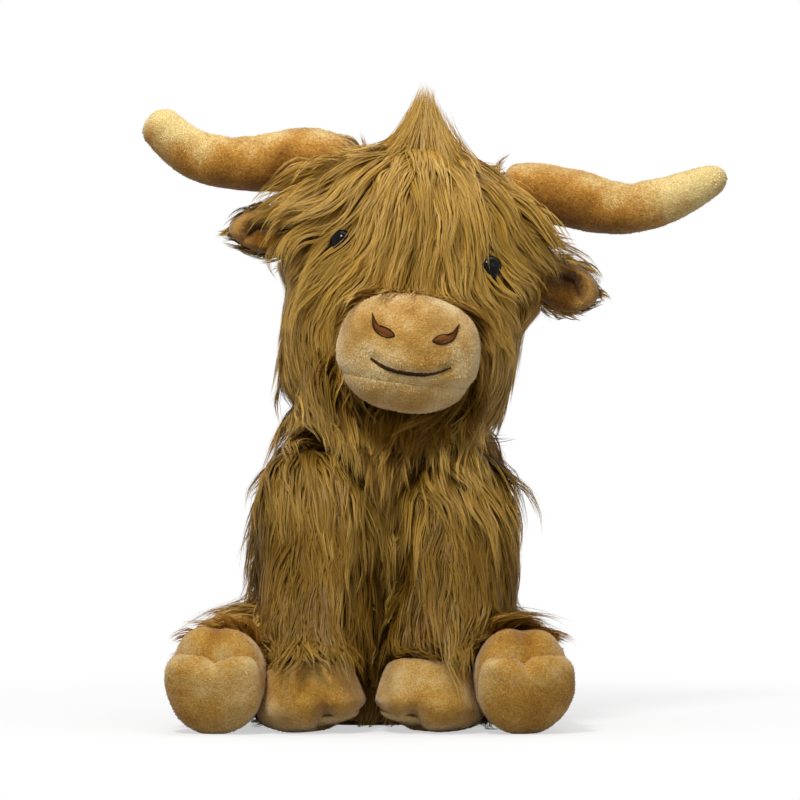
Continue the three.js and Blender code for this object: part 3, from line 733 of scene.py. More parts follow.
@dataclass(frozen=True)
class Region:
    """A rule that keeps the roots between limits in millimetres."""

    y: tuple[float, float] = (-ANY, ANY)
    z: tuple[float, float] = (-ANY, ANY)

    def __call__(self, points: Array, normals: Array) -> Array:
        """Tell which roots stay.

        Args:
            points: The roots.
            normals: The skin's normals there.

        Returns:
            Whether each stays.
        """
        stay = np.ones(len(points), bool)
        for place, (low, high) in ((points[:, 1], self.y), (points[:, 2], self.z)):
            stay &= (place > low * MM) & (place <= high * MM)
        return stay


class Skins:
    """All surfaces that the long pile lies on, for keeping strands out of them."""

    def __init__(self) -> None:
        """Start with none."""
        self.points: list[Array] = []
        self.faces: list[Array] = []
        self.count = 0
        self.tree: BVHTree | None = None

    def add(self, grid: Array) -> None:
        """Add a form's surface.

        Args:
            grid: Rings, points and coordinates in the row frame.
        """
        quads = grid_quads(*grid.shape[:2])
        centre = grid.mean(axis=(0, 1))
        flat = grid.reshape(-1, 3)
        middle = flat[quads].mean(1)
        face = np.cross(flat[quads[:, 2]] - flat[quads[:, 0]], flat[quads[:, 3]] - flat[quads[:, 1]])
        if np.sum((middle - centre) * face) < 0:
            quads = quads[:, ::-1]
        self.points.append(flat)
        self.faces.append(quads + self.count)
        self.count += len(flat)
        self.tree = None

    def near(self, points: Array) -> tuple[Array, Array]:
        """Find how far points are above the skins.

        Args:
            points: Points in the row frame.

        Returns:
            Signed distances, negative inside, and the skins' normals there.
        """
        if self.tree is None:
            self.tree = BVHTree.FromPolygons(np.vstack(self.points).tolist(),
                                             np.vstack(self.faces).tolist(), all_triangles=False)
        distance = np.zeros(len(points))
        normals = np.zeros((len(points), 3))
        for i, point in enumerate(points.tolist()):
            where, normal, _, far = self.tree.find_nearest(point)
            out = Vector(point) - where
            distance[i] = far if out.dot(normal) >= 0 else -far
            normals[i] = normal
        return distance, normals


def scatter(grid: Array, count: int, rng: np.random.Generator,
            keep: Keep | None) -> tuple[Array, Array]:
    """Place points evenly over a form's surface.

    Args:
        grid: The form's points.
        count: How many points to draw before any is left out.
        rng: Where chance comes from.
        keep: Says which points stay, from the points and normals.

    Returns:
        The points and their normals.
    """
    normals = grid_normals(grid)
    a, b = grid[:-1], np.roll(grid, -1, axis=1)[:-1]
    c, d = np.roll(grid, -1, axis=1)[1:], grid[1:]
    area = 0.5 * np.linalg.norm(np.cross(c - a, d - b), axis=-1).ravel()
    cells = rng.choice(len(area), size=count, p=area / area.sum())
    i, j = np.divmod(cells, grid.shape[1])
    u, v = rng.random(count)[:, None], rng.random(count)[:, None]
    k = (j + 1) % grid.shape[1]

    def blend(values: Array) -> Array:
        """Blend the four corners of each point's cell.

        Args:
            values: One value for each point of the grid.

        Returns:
            One value for each point placed.
        """
        low = values[i, j] * (1 - u) + values[i, k] * u
        high = values[i + 1, j] * (1 - u) + values[i + 1, k] * u
        return low * (1 - v) + high * v

    points, out = blend(grid), unit(blend(normals))
    if keep is not None:
        stay = keep(points, out)
        points, out = points[stay], out[stay]
    return points, out


def spaced(points: Array, normals: Array, count: int) -> tuple[Array, Array]:
    """Thin a crowd of points to about a number of evenly spaced ones.

    Args:
        points: The crowd, in no order.
        normals: Their normals.
        count: How many should stay.

    Returns:
        The points that stay and their normals.
    """
    if len(points) <= count:
        return points, normals
    low, high = 0.0, 60 * MM
    tries, crowded, near_enough = 9, 1.1, 0.03
    best = np.arange(count)
    for _ in range(tries):
        gap = (low + high) / 2
        cells: dict[tuple[int, int, int], list[int]] = {}
        taken: list[int] = []
        for i, cell in enumerate(map(tuple, np.floor(points / max(gap, 1e-6)).astype(int).tolist())):
            near = [j for dx in (-1, 0, 1) for dy in (-1, 0, 1) for dz in (-1, 0, 1)
                    for j in cells.get((cell[0] + dx, cell[1] + dy, cell[2] + dz), ())]
            if near and np.min(np.sum((points[near] - points[i]) ** 2, axis=1)) < gap * gap:
                continue
            cells.setdefault(cell, []).append(i)
            taken.append(i)
            if len(taken) > count * crowded:
                break
        if len(taken) > count:
            low = gap
        else:
            high = gap
        best = np.array(taken)
        if abs(len(taken) - count) < near_enough * count:
            break
    return points[best], normals[best]


def drift(points: Array, scale: float, seed: int) -> Array:
    """A smooth random direction at each point."""
    return np.stack([smooth_noise(points, scale, seed + k, 2) for k in range(3)], axis=-1)


def resampled(values: Array, line: Array, place: Array) -> Array:
    """Read lines at fractional steps.

    Args:
        values: Lines of vectors.
        line: Which line each result reads.
        place: The steps that it reads, as fractions of a step.

    Returns:
        One line of vectors for each result.
    """
    low = np.clip(place.astype(int), 0, values.shape[1] - 2)
    part = (place - low)[..., None]
    return values[line[:, None], low] * (1 - part) + values[line[:, None], low + 1] * part


@dataclass
class Strands:
    """Strands as lines, with the direction that each lies flat in, and their tones."""

    path: Array
    flat: Array
    tones: Array
    width: float
    roll: ClassVar[float] = 0.15
    full_until: ClassVar[float] = 0.35
    tip_loss: ClassVar[float] = 0.75

    def ribbons(self, name: str, rng: np.random.Generator) -> Piece:
        """Make a thin tapering ribbon along each strand.

        Args:
            name: The piece's name.
            rng: Where chance comes from.

        Returns:
            The strands as one object with the map OFBake.
        """
        path = self.path
        count, steps = path.shape[:2]
        along = unit(np.gradient(path, axis=1))
        up = unit(np.cross(self.flat, along))
        roll = rng.normal(0, self.roll, count)[:, None, None]
        flat = unit(np.cross(along, up)) * np.cos(roll) + up * np.sin(roll)
        share = np.linspace(0, 1, steps)
        past = np.clip(share - self.full_until, 0, None) / (1 - self.full_until)
        taper = np.where(share < self.full_until, 1.0, 1.0 - self.tip_loss * past ** 1.2)
        half = 0.5 * self.width * rng.uniform(0.75, 1.25, count)[:, None] * taper[None, :]
        left = path[:, :-1] - flat[:, :-1] * half[:, :-1, None]
        right = path[:, :-1] + flat[:, :-1] * half[:, :-1, None]
        body = np.stack([left, right], axis=2).reshape(count, -1, 3)
        points = np.concatenate([body, path[:, -1:]], axis=1)
        per = points.shape[1]
        first = (np.arange(count) * per)[:, None]
        k = np.arange(steps - 2)[None, :] * 2
        quads = np.stack([first + k, first + k + 1, first + k + 3, first + k + 2], axis=-1).reshape(-1, 4)
        top = 2 * (steps - 2)
        tips = np.hstack([first + top, first + top + 1, first + top + 2])
        mesh = bpy.data.meshes.new(name)
        mesh.vertices.add(count * per)
        mesh.vertices.foreach_set("co", points.reshape(-1).astype(np.float32))
        loops = np.concatenate([quads.ravel(), tips.ravel()])
        sizes = np.concatenate([np.full(len(quads), 4), np.full(len(tips), 3)])
        mesh.loops.add(len(loops))
        mesh.loops.foreach_set("vertex_index", loops.astype(np.int32))
        mesh.polygons.add(len(sizes))
        starts = np.concatenate([[0], np.cumsum(sizes)[:-1]])
        mesh.polygons.foreach_set("loop_start", starts.astype(np.int32))
        mesh.polygons.foreach_set("use_smooth", np.ones(len(sizes), bool))
        mesh.update(calc_edges=True)
        rise = np.concatenate([np.repeat(share[:-1], 2), [1.0]])
        spread = np.concatenate([np.tile([-0.01, 0.01], steps - 1), [0.0]])
        u = (0.02 + 0.96 * self.tones)[:, None] + spread[None, :]
        v = np.broadcast_to(0.01 + 0.98 * rise, (count, per))
        uv = np.stack([u, v], axis=-1).reshape(-1, 2)[loops]
        layer = mesh.uv_layers.new(name="OFBake")
        layer.data.foreach_set("uv", uv.astype(np.float32).ravel())
        obj = bpy.data.objects.new(name, mesh)
        bpy.context.scene.collection.objects.link(obj)
        return obj


@dataclass
class Coat:
    """A recipe for long pile: wavy locks, the tufts that make each lock, and their strands."""

    locks: int
    strands: int
    length: tuple[float, float] = (32 * MM, 46 * MM)
    lock_width: float = 10 * MM
    crest: float = 2.4 * MM
    tufts: int = 7
    tuft_width: float = 2.6 * MM
    narrow: float = 0.55
    tuft_narrow: float = 0.68
    lift: float = 7.0 * MM
    tip_lift: float = 4.0 * MM
    weight: float = 0.3
    wave: float = 2.2 * MM
    swirl: float = 0.3
    width: float = 0.37 * MM
    segments: int = 5
    loose: float = 0.1
    stiffness: float = 0.5
    raise_root: float = 0.6
    # Painted shading: the coat's mean tone, set low where shade falls and high where light falls
    shade: float = 0.56
    crowd: ClassVar[int] = 9
    stray: ClassVar[float] = 0.14
    wave_length: ClassVar[float] = 34 * MM
    clear_of_skin: ClassVar[float] = 0.7 * MM
    lock_floor: ClassVar[float] = 0.8 * MM
    tuft_floor: ClassVar[float] = 0.5 * MM
    strand_floor: ClassVar[float] = 0.3 * MM
    loose_reach: ClassVar[float] = 2.2
    lock_tone: ClassVar[float] = 0.11
    tuft_tone: ClassVar[float] = 0.08
    strand_tone: ClassVar[float] = 0.06

    def guides(self, roots: Array, normals: Array, comb: Comb, skins: Skins,
               rng: np.random.Generator, vary: Scale | None) -> tuple[Array, Array]:
        """Lay a guide line for each lock over the skins.

        Args:
            roots: The locks' roots.
            normals: The skin's normals there.
            comb: Gives the direction that the pile is combed in.
            skins: What the pile lies on.
            rng: Where chance comes from.
            vary: Scales the length by place.

        Returns:
            The lines, and the skins' normals along them.
        """
        count = len(roots)
        length = rng.uniform(*self.length, size=count) * rng.uniform(0.85, 1.1, size=count)
        if vary is not None:
            length = length * vary(roots)
        step = (length / self.segments)[:, None]
        down = np.array([0.0, 0.0, -1.0])
        stray = self.stray * rng.normal(size=roots.shape)
        heading = unit(unit(comb(roots, normals) + stray) + normals * self.raise_root)
        at, normal, above = roots.copy(), normals, np.zeros(count)
        line, facing = [at], [normal]
        for k in range(1, self.segments + 1):
            share = k / self.segments
            aim = unit(comb(at, normal) + self.swirl * drift(at, 11.0, Noise.SWIRL) + stray)
            aim = unit(aim * (1 - self.weight * share) + down * self.weight * share)
            heading = unit(heading * self.stiffness + aim * (1 - self.stiffness))
            inward = np.minimum(np.sum(heading * normal, axis=1, keepdims=True), 0)
            pressed = np.clip(1 - (above - self.lift) / self.lift, 0, 1)[:, None]
            heading = unit(heading - normal * inward * pressed)
            at = at + heading * step
            above, normal = skins.near(at)
            floor = (self.lift * math.sin(min(share * 1.8, 1.0) * math.pi / 2) * (1 - share)
                     + self.tip_lift * share)
            at = at + normal * np.clip(floor - above, 0, None)[:, None]
            at[:, 2] = np.maximum(at[:, 2], self.lock_floor)
            line.append(at)
            facing.append(normal)
        line, facing = np.stack(line, axis=1), np.stack(facing, axis=1)
        share = np.linspace(0, 1, self.segments + 1)[None, :]
        tangent = unit(np.gradient(line, axis=1))
        side = unit(np.cross(facing, tangent))
        cycles = (length / self.wave_length * rng.uniform(0.8, 1.3, count))[:, None]
        phase = rng.uniform(0, 2 * math.pi, count)[:, None]
        size = (self.wave * rng.uniform(0.4, 1.35, count))[:, None]
        swing = np.sin(phase + cycles * share * 2 * math.pi) - np.sin(phase) * (1 - share)
        sway = size * swing * share ** 0.7
        roll = 0.35 * size * np.sin(phase * 1.7 + cycles * share * 2 * math.pi) * share
        return line + side * sway[..., None] + facing * roll[..., None], facing

    def tuft_lines(self, guide: Array, facing: Array, skins: Skins,
                   rng: np.random.Generator) -> tuple[Array, Array, Array]:
        """Set each lock's tufts side by side along its guide.

        Args:
            guide: The locks' lines.
            facing: The normals along them.
            skins: What the tufts stay above.
            rng: Where chance comes from.

        Returns:
            The tufts' lines, their sideways directions, and the lock that each belongs to.
        """
        lock = np.repeat(np.arange(len(guide)), self.tufts)
        total = len(lock)
        share = np.linspace(0, 1, self.segments + 1)[None, :]
        across = np.tile(np.linspace(-0.5, 0.5, self.tufts), len(guide))
        across = across + rng.uniform(-0.5, 0.5, total) / self.tufts
        wide = self.lock_width * rng.uniform(0.75, 1.3, len(guide))[lock]
        trim = rng.uniform(0.66, 1.0, total) * (1 - 0.25 * np.abs(across))
        place = trim[:, None] * share * self.segments
        line = resampled(guide, lock, place)
        normal = unit(resampled(facing, lock, place))
        tangent = unit(np.gradient(line, axis=1))
        side = unit(np.cross(normal, tangent))
        close = 1 - self.narrow * share ** 1.2
        wobble = rng.uniform(0.5, 1.2, total)[:, None] * 0.8 * MM * np.sin(
            rng.uniform(0, 2 * math.pi, total)[:, None] + share * rng.uniform(6, 12, total)[:, None]) * share
        arch = np.sin(math.pi * np.clip(share * 0.92 + 0.04, 0, 1))
        crest = self.crest * (1 - (2 * across[:, None]) ** 2) * arch
        depth = rng.uniform(-1, 1, total)[:, None] * 0.6 * MM * np.sin(math.pi * share * 0.8)
        back = rng.uniform(-0.6, 0.6, total)[:, None] * self.lock_width * (1 - share) ** 1.4
        line = (line + side * ((across * wide)[:, None] * close + wobble)[..., None]
                + normal * (crest + depth)[..., None] + tangent[:, :1] * back[..., None])
        flat = line[:, 1:].reshape(-1, 3)
        above, out = skins.near(flat)
        flat = flat + out * np.clip(self.clear_of_skin - above, 0, None)[:, None]
        line[:, 1:] = flat.reshape(total, self.segments, 3)
        line[..., 2] = np.maximum(line[..., 2], self.tuft_floor)
        return line, self.tilted(side, np.cross(tangent, side), 0.6 * across[:, None]), lock

    @staticmethod
    def tilted(side: Array, up: Array, angle: Array) -> Array:
        """Turn sideways directions down by an angle, as on a rounded lock's flank."""
        return side * np.cos(angle)[..., None] - up * np.sin(angle)[..., None]

    def grow(self, grid: Array, comb: Comb, skins: Skins, rng: np.random.Generator,
             keep: Keep | None = None, bend: Bend | None = None,
             stop: Stop | None = None,
             vary: Scale | None = None) -> Strands:
        """Grow all the coat's strands.

        Args:
            grid: The skin that they stand in.
            comb: The direction that the pile is combed in.
            skins: What the pile lies on.
            rng: Where chance comes from.
            keep: Which roots stay.
            bend: A last change of the tufts, such as around the eyes.
            stop: Where no strand may enter.
            vary: Scales the length by place.

        Returns:
            The strands.
        """
        centres, out = scatter(grid, self.locks * self.crowd, rng, keep)
        centres, out = spaced(centres, out, self.locks)
        guide, facing = self.guides(centres, out, comb, skins, rng, vary)
        line, side, lock = self.tuft_lines(guide, facing, skins, rng)
        if bend is not None:
            line = bend(line)
        share = np.linspace(0, 1, self.segments + 1)
        if stop is not None:
            number = np.arange(len(line))
            spots = np.linspace(0, self.segments, 4 * self.segments + 1)
            dense = resampled(line, number, np.tile(spots, (len(line), 1)))
            shut = stop(dense.reshape(-1, 3)).reshape(dense.shape[:2])
            limit = np.where(shut.any(1), np.maximum(spots[shut.argmax(1)] - 0.1, 0.6), self.segments)
            place = share[None, :] * limit[:, None]
            line, side = resampled(line, number, place), resampled(side, number, place)
            open_way = limit > 0.7
            line, side, lock = line[open_way], side[open_way], lock[open_way]
        each = max(1, self.strands // len(line))
        tuft = np.repeat(np.arange(len(line)), each)
        total = len(tuft)
        loose = rng.random(total) < self.loose
        trim = np.where(loose, rng.uniform(0.7, 1.0, total), 1 - 0.38 * rng.random(total) ** 1.5)
        place = trim[:, None] * share[None, :] * self.segments
        path = resampled(line, tuft, place)
        flat = unit(resampled(side, tuft, place))
        tangent = unit(np.gradient(path, axis=1))
        up = np.cross(tangent, flat)
        angle = rng.uniform(0, 2 * math.pi, total)
        radius = 0.5 * self.tuft_width * np.sqrt(rng.random(total)) * np.where(loose, self.loose_reach, 1.0)
        close = 1 - np.where(loose, 0.1, self.tuft_narrow)[:, None] * share[None, :]
        start, cycles = rng.uniform(0, 2 * math.pi, total), rng.uniform(6, 13, total)
        ripple = start[:, None] + share[None, :] * cycles[:, None]
        stir = np.where(loose, 0.8, 0.22)[:, None] * MM * np.sin(ripple) * share[None, :]
        path = (path + flat * ((radius * np.cos(angle))[:, None] * close + stir)[..., None]
                + up * (np.abs(radius * np.sin(angle))[:, None] * close)[..., None])
        path[..., 2] = np.maximum(path[..., 2], self.strand_floor)
        flat = self.tilted(flat, up, (0.5 * np.cos(angle))[:, None] * np.ones_like(share))
        # Each strand's tone starts from the coat's painted shading and varies at random by lock, tuft and
        # strand
        tone = (rng.normal(self.shade, self.lock_tone, len(centres))[lock[tuft]]
                + rng.normal(0, self.tuft_tone, len(line))[tuft] + rng.normal(0, self.strand_tone, total))
        return Strands(path, flat, np.clip(tone, 0.02, 0.98), self.width)


@dataclass
class Nap:
    """A recipe for short pile: stubby hairs that lean in drifting directions."""

    hairs: int
    length: float = 1.7 * MM
    width: float = 0.3 * MM
    lean: float = 0.9

    def grow(self, grid: Array, tone: Tone, rng: np.random.Generator, lay: Sequence[float],
             keep: Keep | None = None) -> Strands:
        """Grow the hairs over a form.

        Args:
            grid: The form's surface.
            tone: Gives the pile's tone by place.
            rng: Where chance comes from.
            lay: The direction that the nap mostly lies in.
            keep: Which roots stay.

        Returns:
            The hairs.
        """
        roots, normals = scatter(grid, self.hairs, rng, keep)
        count = len(roots)
        way = np.array(lay, float) + 0.9 * drift(roots, 32.0, Noise.LEAN) + 0.3 * rng.normal(size=roots.shape)
        way = along_skin(way, normals)
        heading = unit(normals * 0.4 + way * self.lean * rng.uniform(0.6, 1.2, count)[:, None])
        length = (self.length * rng.uniform(0.7, 1.25, count))[:, None]
        middle = roots + heading * length * 0.5
        bent = unit(heading + way * 0.3)
        path = np.stack([roots - normals * 0.2 * MM, middle, middle + bent * length * 0.5], axis=1)
        path[..., 2] = np.maximum(path[..., 2], 0.15 * MM)
        flat = unit(np.cross(normals, way))
        flat = np.repeat(flat[:, None], 3, axis=1)
        tones = np.clip(tone(roots) + rng.normal(0.06, 0.06, count), 0.02, 0.98)
        return Strands(path, flat, tones, self.width)


@dataclass(frozen=True)
class Velvet:
    """A short pile's two finishes: its cloth and its hairs."""

    cloth: Material
    hair: Material


def velvet(name: str, deep: Colour, base: Colour, pale: Colour) -> Velvet:
    """Make a short pile's cloth and hairs from its three tones."""
    return Velvet(ShortPile(f"{name}_pile", deep, base, pale).material(),
                  NapHair(f"{name}_nap", deep, base, pale).material())


@dataclass
class Workshop:
    """What the sub-assemblies share: finishes, skins and chance."""

    skins: Skins = field(default_factory=Skins)

    def __post_init__(self) -> None:
        """Make each finish once."""
        self.long_pile = LongPile().material()
        self.backing = FurBacking().material()
        self.horn = velvet("horn", linear(142, 92, 24), linear(208, 150, 62), linear(255, 230, 158))
        self.hoof = velvet("hoof", linear(168, 112, 28), linear(210, 160, 70), linear(238, 206, 140))
        self.muzzle = velvet("muzzle", linear(168, 116, 40), linear(212, 166, 86), linear(246, 218, 158))
        self.ear = velvet("ear", linear(84, 50, 10), linear(156, 104, 30), linear(214, 166, 88))
        self.dark_thread = SatinThread("dark_thread", linear(30, 14, 5), linear(66, 36, 16)).material()
        self.brown_thread = SatinThread("brown_thread", linear(92, 48, 14), linear(150, 88, 36)).material()
        self.lacquer = EyeLacquer().material()
        self.cloth = BackingCloth().material()
        self.plastic = WasherPlastic().material()

    def chance(self, stream: int) -> np.random.Generator:
        """A seeded source of chance for one stream of draws."""
        return np.random.default_rng(SEED + stream)

    def finish(self, obj: Piece, material: Material, body: str, slot: str,
               *nodes: str) -> Piece:
        """Dress a piece and set it on its body.

        Args:
            obj: The piece.
            material: Its finish.
            body: The frame's body that carries it.
            slot: The record's material slot; not used.
            nodes: The frame's nodes that it stands for.

        Returns:
            The piece.
        """
        obj.data.materials.clear()
        obj.data.materials.append(material)
        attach(obj, body)
        if nodes:
            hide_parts(*nodes)
        log.info("%s: %d faces on %s", obj.name, len(obj.data.polygons), body)
        return obj

    def furred_skin(self, name: str, grid: Array, body: str, node: str, fill: float) -> None:
        """Build a stuffed backing that a coat stands in.

        Args:
            name: The piece's name.
            grid: Its surface.
            body: The body that carries it.
            node: The frame's node that it stands for.
            fill: How tightly it is stuffed; not used.
        """
        self.skins.add(grid)
        skin = form_object(name, grid)
        self.finish(skin, self.backing, body, "long_pile", node)

    def coat(self, name: str, recipe: Coat, grid: Array, comb: Comb, body: str, stream: int,
             **rules: Callable) -> Piece:
        """Grow a coat and set it on its body.

        Args:
            name: The piece's name.
            recipe: How the pile lies.
            grid: The skin it stands in.
            comb: The direction it is combed in.
            body: The body that carries it.
            stream: Which stream of chance it draws from.
            rules: The coat's keep, bend, stop and vary rules.

        Returns:
            The coat.
        """
        rng = self.chance(stream)
        strands = recipe.grow(grid, comb, self.skins, rng, **rules)
        return self.finish(strands.ribbons(name, rng), self.long_pile, body, "long_pile")

    def dress_velvet(self, obj: Piece, grid: Array, pile: Velvet, tone: Tone, body: str,
                     nap: Nap, lay: Sequence[float], stream: int, nodes: Sequence[str],
                     fill: float, keep: Keep | None = None) -> None:
        """Dress a stuffed piece in short pile, with its hairs.

        Args:
            obj: The piece.
            grid: Its surface, where the hairs stand.
            pile: Its finishes.
            tone: The nap's tone by place.
            body: The body that carries it.
            nap: How its hairs grow.
            lay: Where the nap mostly leans.
            stream: Which stream of chance it draws from.
            nodes: The frame's nodes that it stands for.
            fill: How tightly it is stuffed; not used.
            keep: Which hairs stay.
        """
        place = np.zeros(len(obj.data.vertices) * 3)
        obj.data.vertices.foreach_get("co", place)
        painted = obj.data.attributes.new("nap", "FLOAT", "POINT")
        painted.data.foreach_set("value", np.clip(tone(place.reshape(-1, 3)), 0, 1).astype(np.float32))
        self.finish(obj, pile.cloth, body, "short_pile", *nodes)
        rng = self.chance(stream)
        hairs = nap.grow(grid, tone, rng, lay, keep)
        self.finish(hairs.ribbons(f"{obj.name}_nap", rng), pile.hair, body, "short_pile")


# Places and directions


def joint_place(name: str) -> Vector:
    """Where a joint of the frame stands, in metres."""
    return Vector(next(j["pos_m"] for j in frame["joints"] if j["name"] == name))


def turn(axis: str, degrees: float) -> Matrix:
    """A turn about one axis."""
    return Matrix.Rotation(math.radians(degrees), 4, axis)


def gauss(values: Array, middle: float, spread: float) -> Array:
    """A bell from 0 to 1 about a middle."""
    return np.exp(-(((values - middle) / spread) ** 2))


def along_skin(way: Array, normals: Array) -> Array:
    """Lay directions flat on a skin."""
    return unit(way - normals * np.sum(way * normals, axis=-1, keepdims=True))


# Torso


@dataclass
class Torso:
    """The seated body: its skin with the neck, and its coats."""

    shop: Workshop
    height: float = 143 * MM
    width: float = 124 * MM
    depth: float = 100 * MM
    back_shift: float = 6 * MM
    lean: float = 3.3
    sag: float = 5 * MM
    neck_top: float = 176 * MM
    pile: float = 5 * MM
    chest_middle: float = 8 * MM
    floor_gap: float = 1.7 * MM
    swell: Knots = ((-5, 0.88), (39, 1.0), (84, 0.97), (118, 0.86), (140, 0.72), (158, 0.54), (176, 0.46))

    def shift(self, z: float) -> float:
        """How far the leaning spine stands to the cow's left at a height."""
        return z * math.tan(math.radians(self.lean))

    def skin(self) -> Array:
        """The body's skin, flat where it sits.

        Returns:
            Rings, points and coordinates.
        """
        half_width, half_depth = self.width / 2 - self.pile, self.depth / 2 - self.pile
        whole = self.neck_top + self.sag
        swell = [((z * MM + self.sag) / whole, v) for z, v in self.swell]
        form = StuffedForm(
            spine=[(self.shift(-self.sag), self.back_shift, -self.sag),
                   (self.shift(self.neck_top), self.back_shift, self.neck_top)],
            half_across=scaled(swell, half_width), half_deep=scaled(swell, half_depth),
            start_round=0.1, end_round=0.06)
        grid = form.grid(60, 64)
        grid[..., 2] = np.maximum(grid[..., 2], self.floor_gap)
        return grid

    def comb(self, points: Array, normals: Array) -> Array:
        """Down the body, drawn in to the bib on the chest and out over the shoulders and haunches.

        Args:
            points: Places in metres.
            normals: The skin's normals there.

        Returns:
            The direction at each place.
        """
        x = points[:, 0] - self.chest_middle
        way = np.zeros_like(points)
        way[:, 2] = -1.0
        middle = gauss(x, 0, 20 * MM) * (points[:, 1] < 0)
        shoulders = gauss(points[:, 2], 140 * MM, 26 * MM)
        way[:, 0] = 0.9 * np.tanh(x / (24 * MM)) * shoulders * (1 - middle) - middle * x * 9
        way[:, 0] += 0.3 * x / (60 * MM) * (1 - shoulders)
        way[:, 1] -= 0.45 * shoulders * (points[:, 1] < 10 * MM)
        return along_skin(way, normals)

    def build(self) -> None:
        """Build the skin."""
        self.grid = self.skin()
        self.shop.furred_skin("torso_skin", self.grid, "torso", "torso", fill=0.75)

    def dress(self) -> None:
        """Grow the mantle over the shoulders, the chest, the belly and the back."""
        def beside_neck(points: Array) -> Array:
            """Whether points are beyond the shoulders, where the mantle's locks end."""
            return (np.abs(points[:, 0] - self.chest_middle) > 66 * MM) & (points[:, 2] > 112 * MM)

        mantle = Region(y=(-ANY, 30), z=(118, 158))
        chest = Region(y=(-ANY, 2), z=(82, 150))
        belly = Region(y=(-ANY, 2), z=(16, 82))
        back = Region(y=(2, ANY), z=(5, 158))
        grow = self.shop.coat
        # The mantle is painted darker than the head and the chest darker still, as painted shade under the head
        grow("torso_mantle_pile", Coat(locks=120, strands=7000, length=(54 * MM, 78 * MM), lock_width=13 * MM,
                                       lift=11 * MM, tip_lift=9 * MM, crest=3 * MM, wave=2.4 * MM, weight=0.5,
                                       segments=7, shade=0.3),
             self.grid, self.comb, "torso", Stream.MANTLE, keep=mantle, stop=beside_neck)
        grow("torso_chest_pile", Coat(locks=100, strands=6000, length=(40 * MM, 56 * MM), lock_width=12 * MM,
                                      lift=4.5 * MM, tip_lift=2.5 * MM, crest=2 * MM, wave=2.8 * MM,
                                      raise_root=0.2, shade=-0.25),
             self.grid, self.comb, "torso", Stream.CHEST, keep=chest)
        grow("torso_belly_pile", Coat(locks=100, strands=3000, length=(26 * MM, 38 * MM), lock_width=11 * MM,
                                      lift=6 * MM, width=0.6 * MM),
             self.grid, self.comb, "torso", Stream.BELLY, keep=belly)
        grow("torso_back_pile", Coat(locks=330, strands=14500, length=(34 * MM, 48 * MM), lock_width=12 * MM,
                                     lift=7.5 * MM, tip_lift=4.5 * MM, crest=2.8 * MM, wave=2.6 * MM,
                                     width=0.52 * MM),
             self.grid, self.comb, "torso", Stream.BACK, keep=back)


# Head


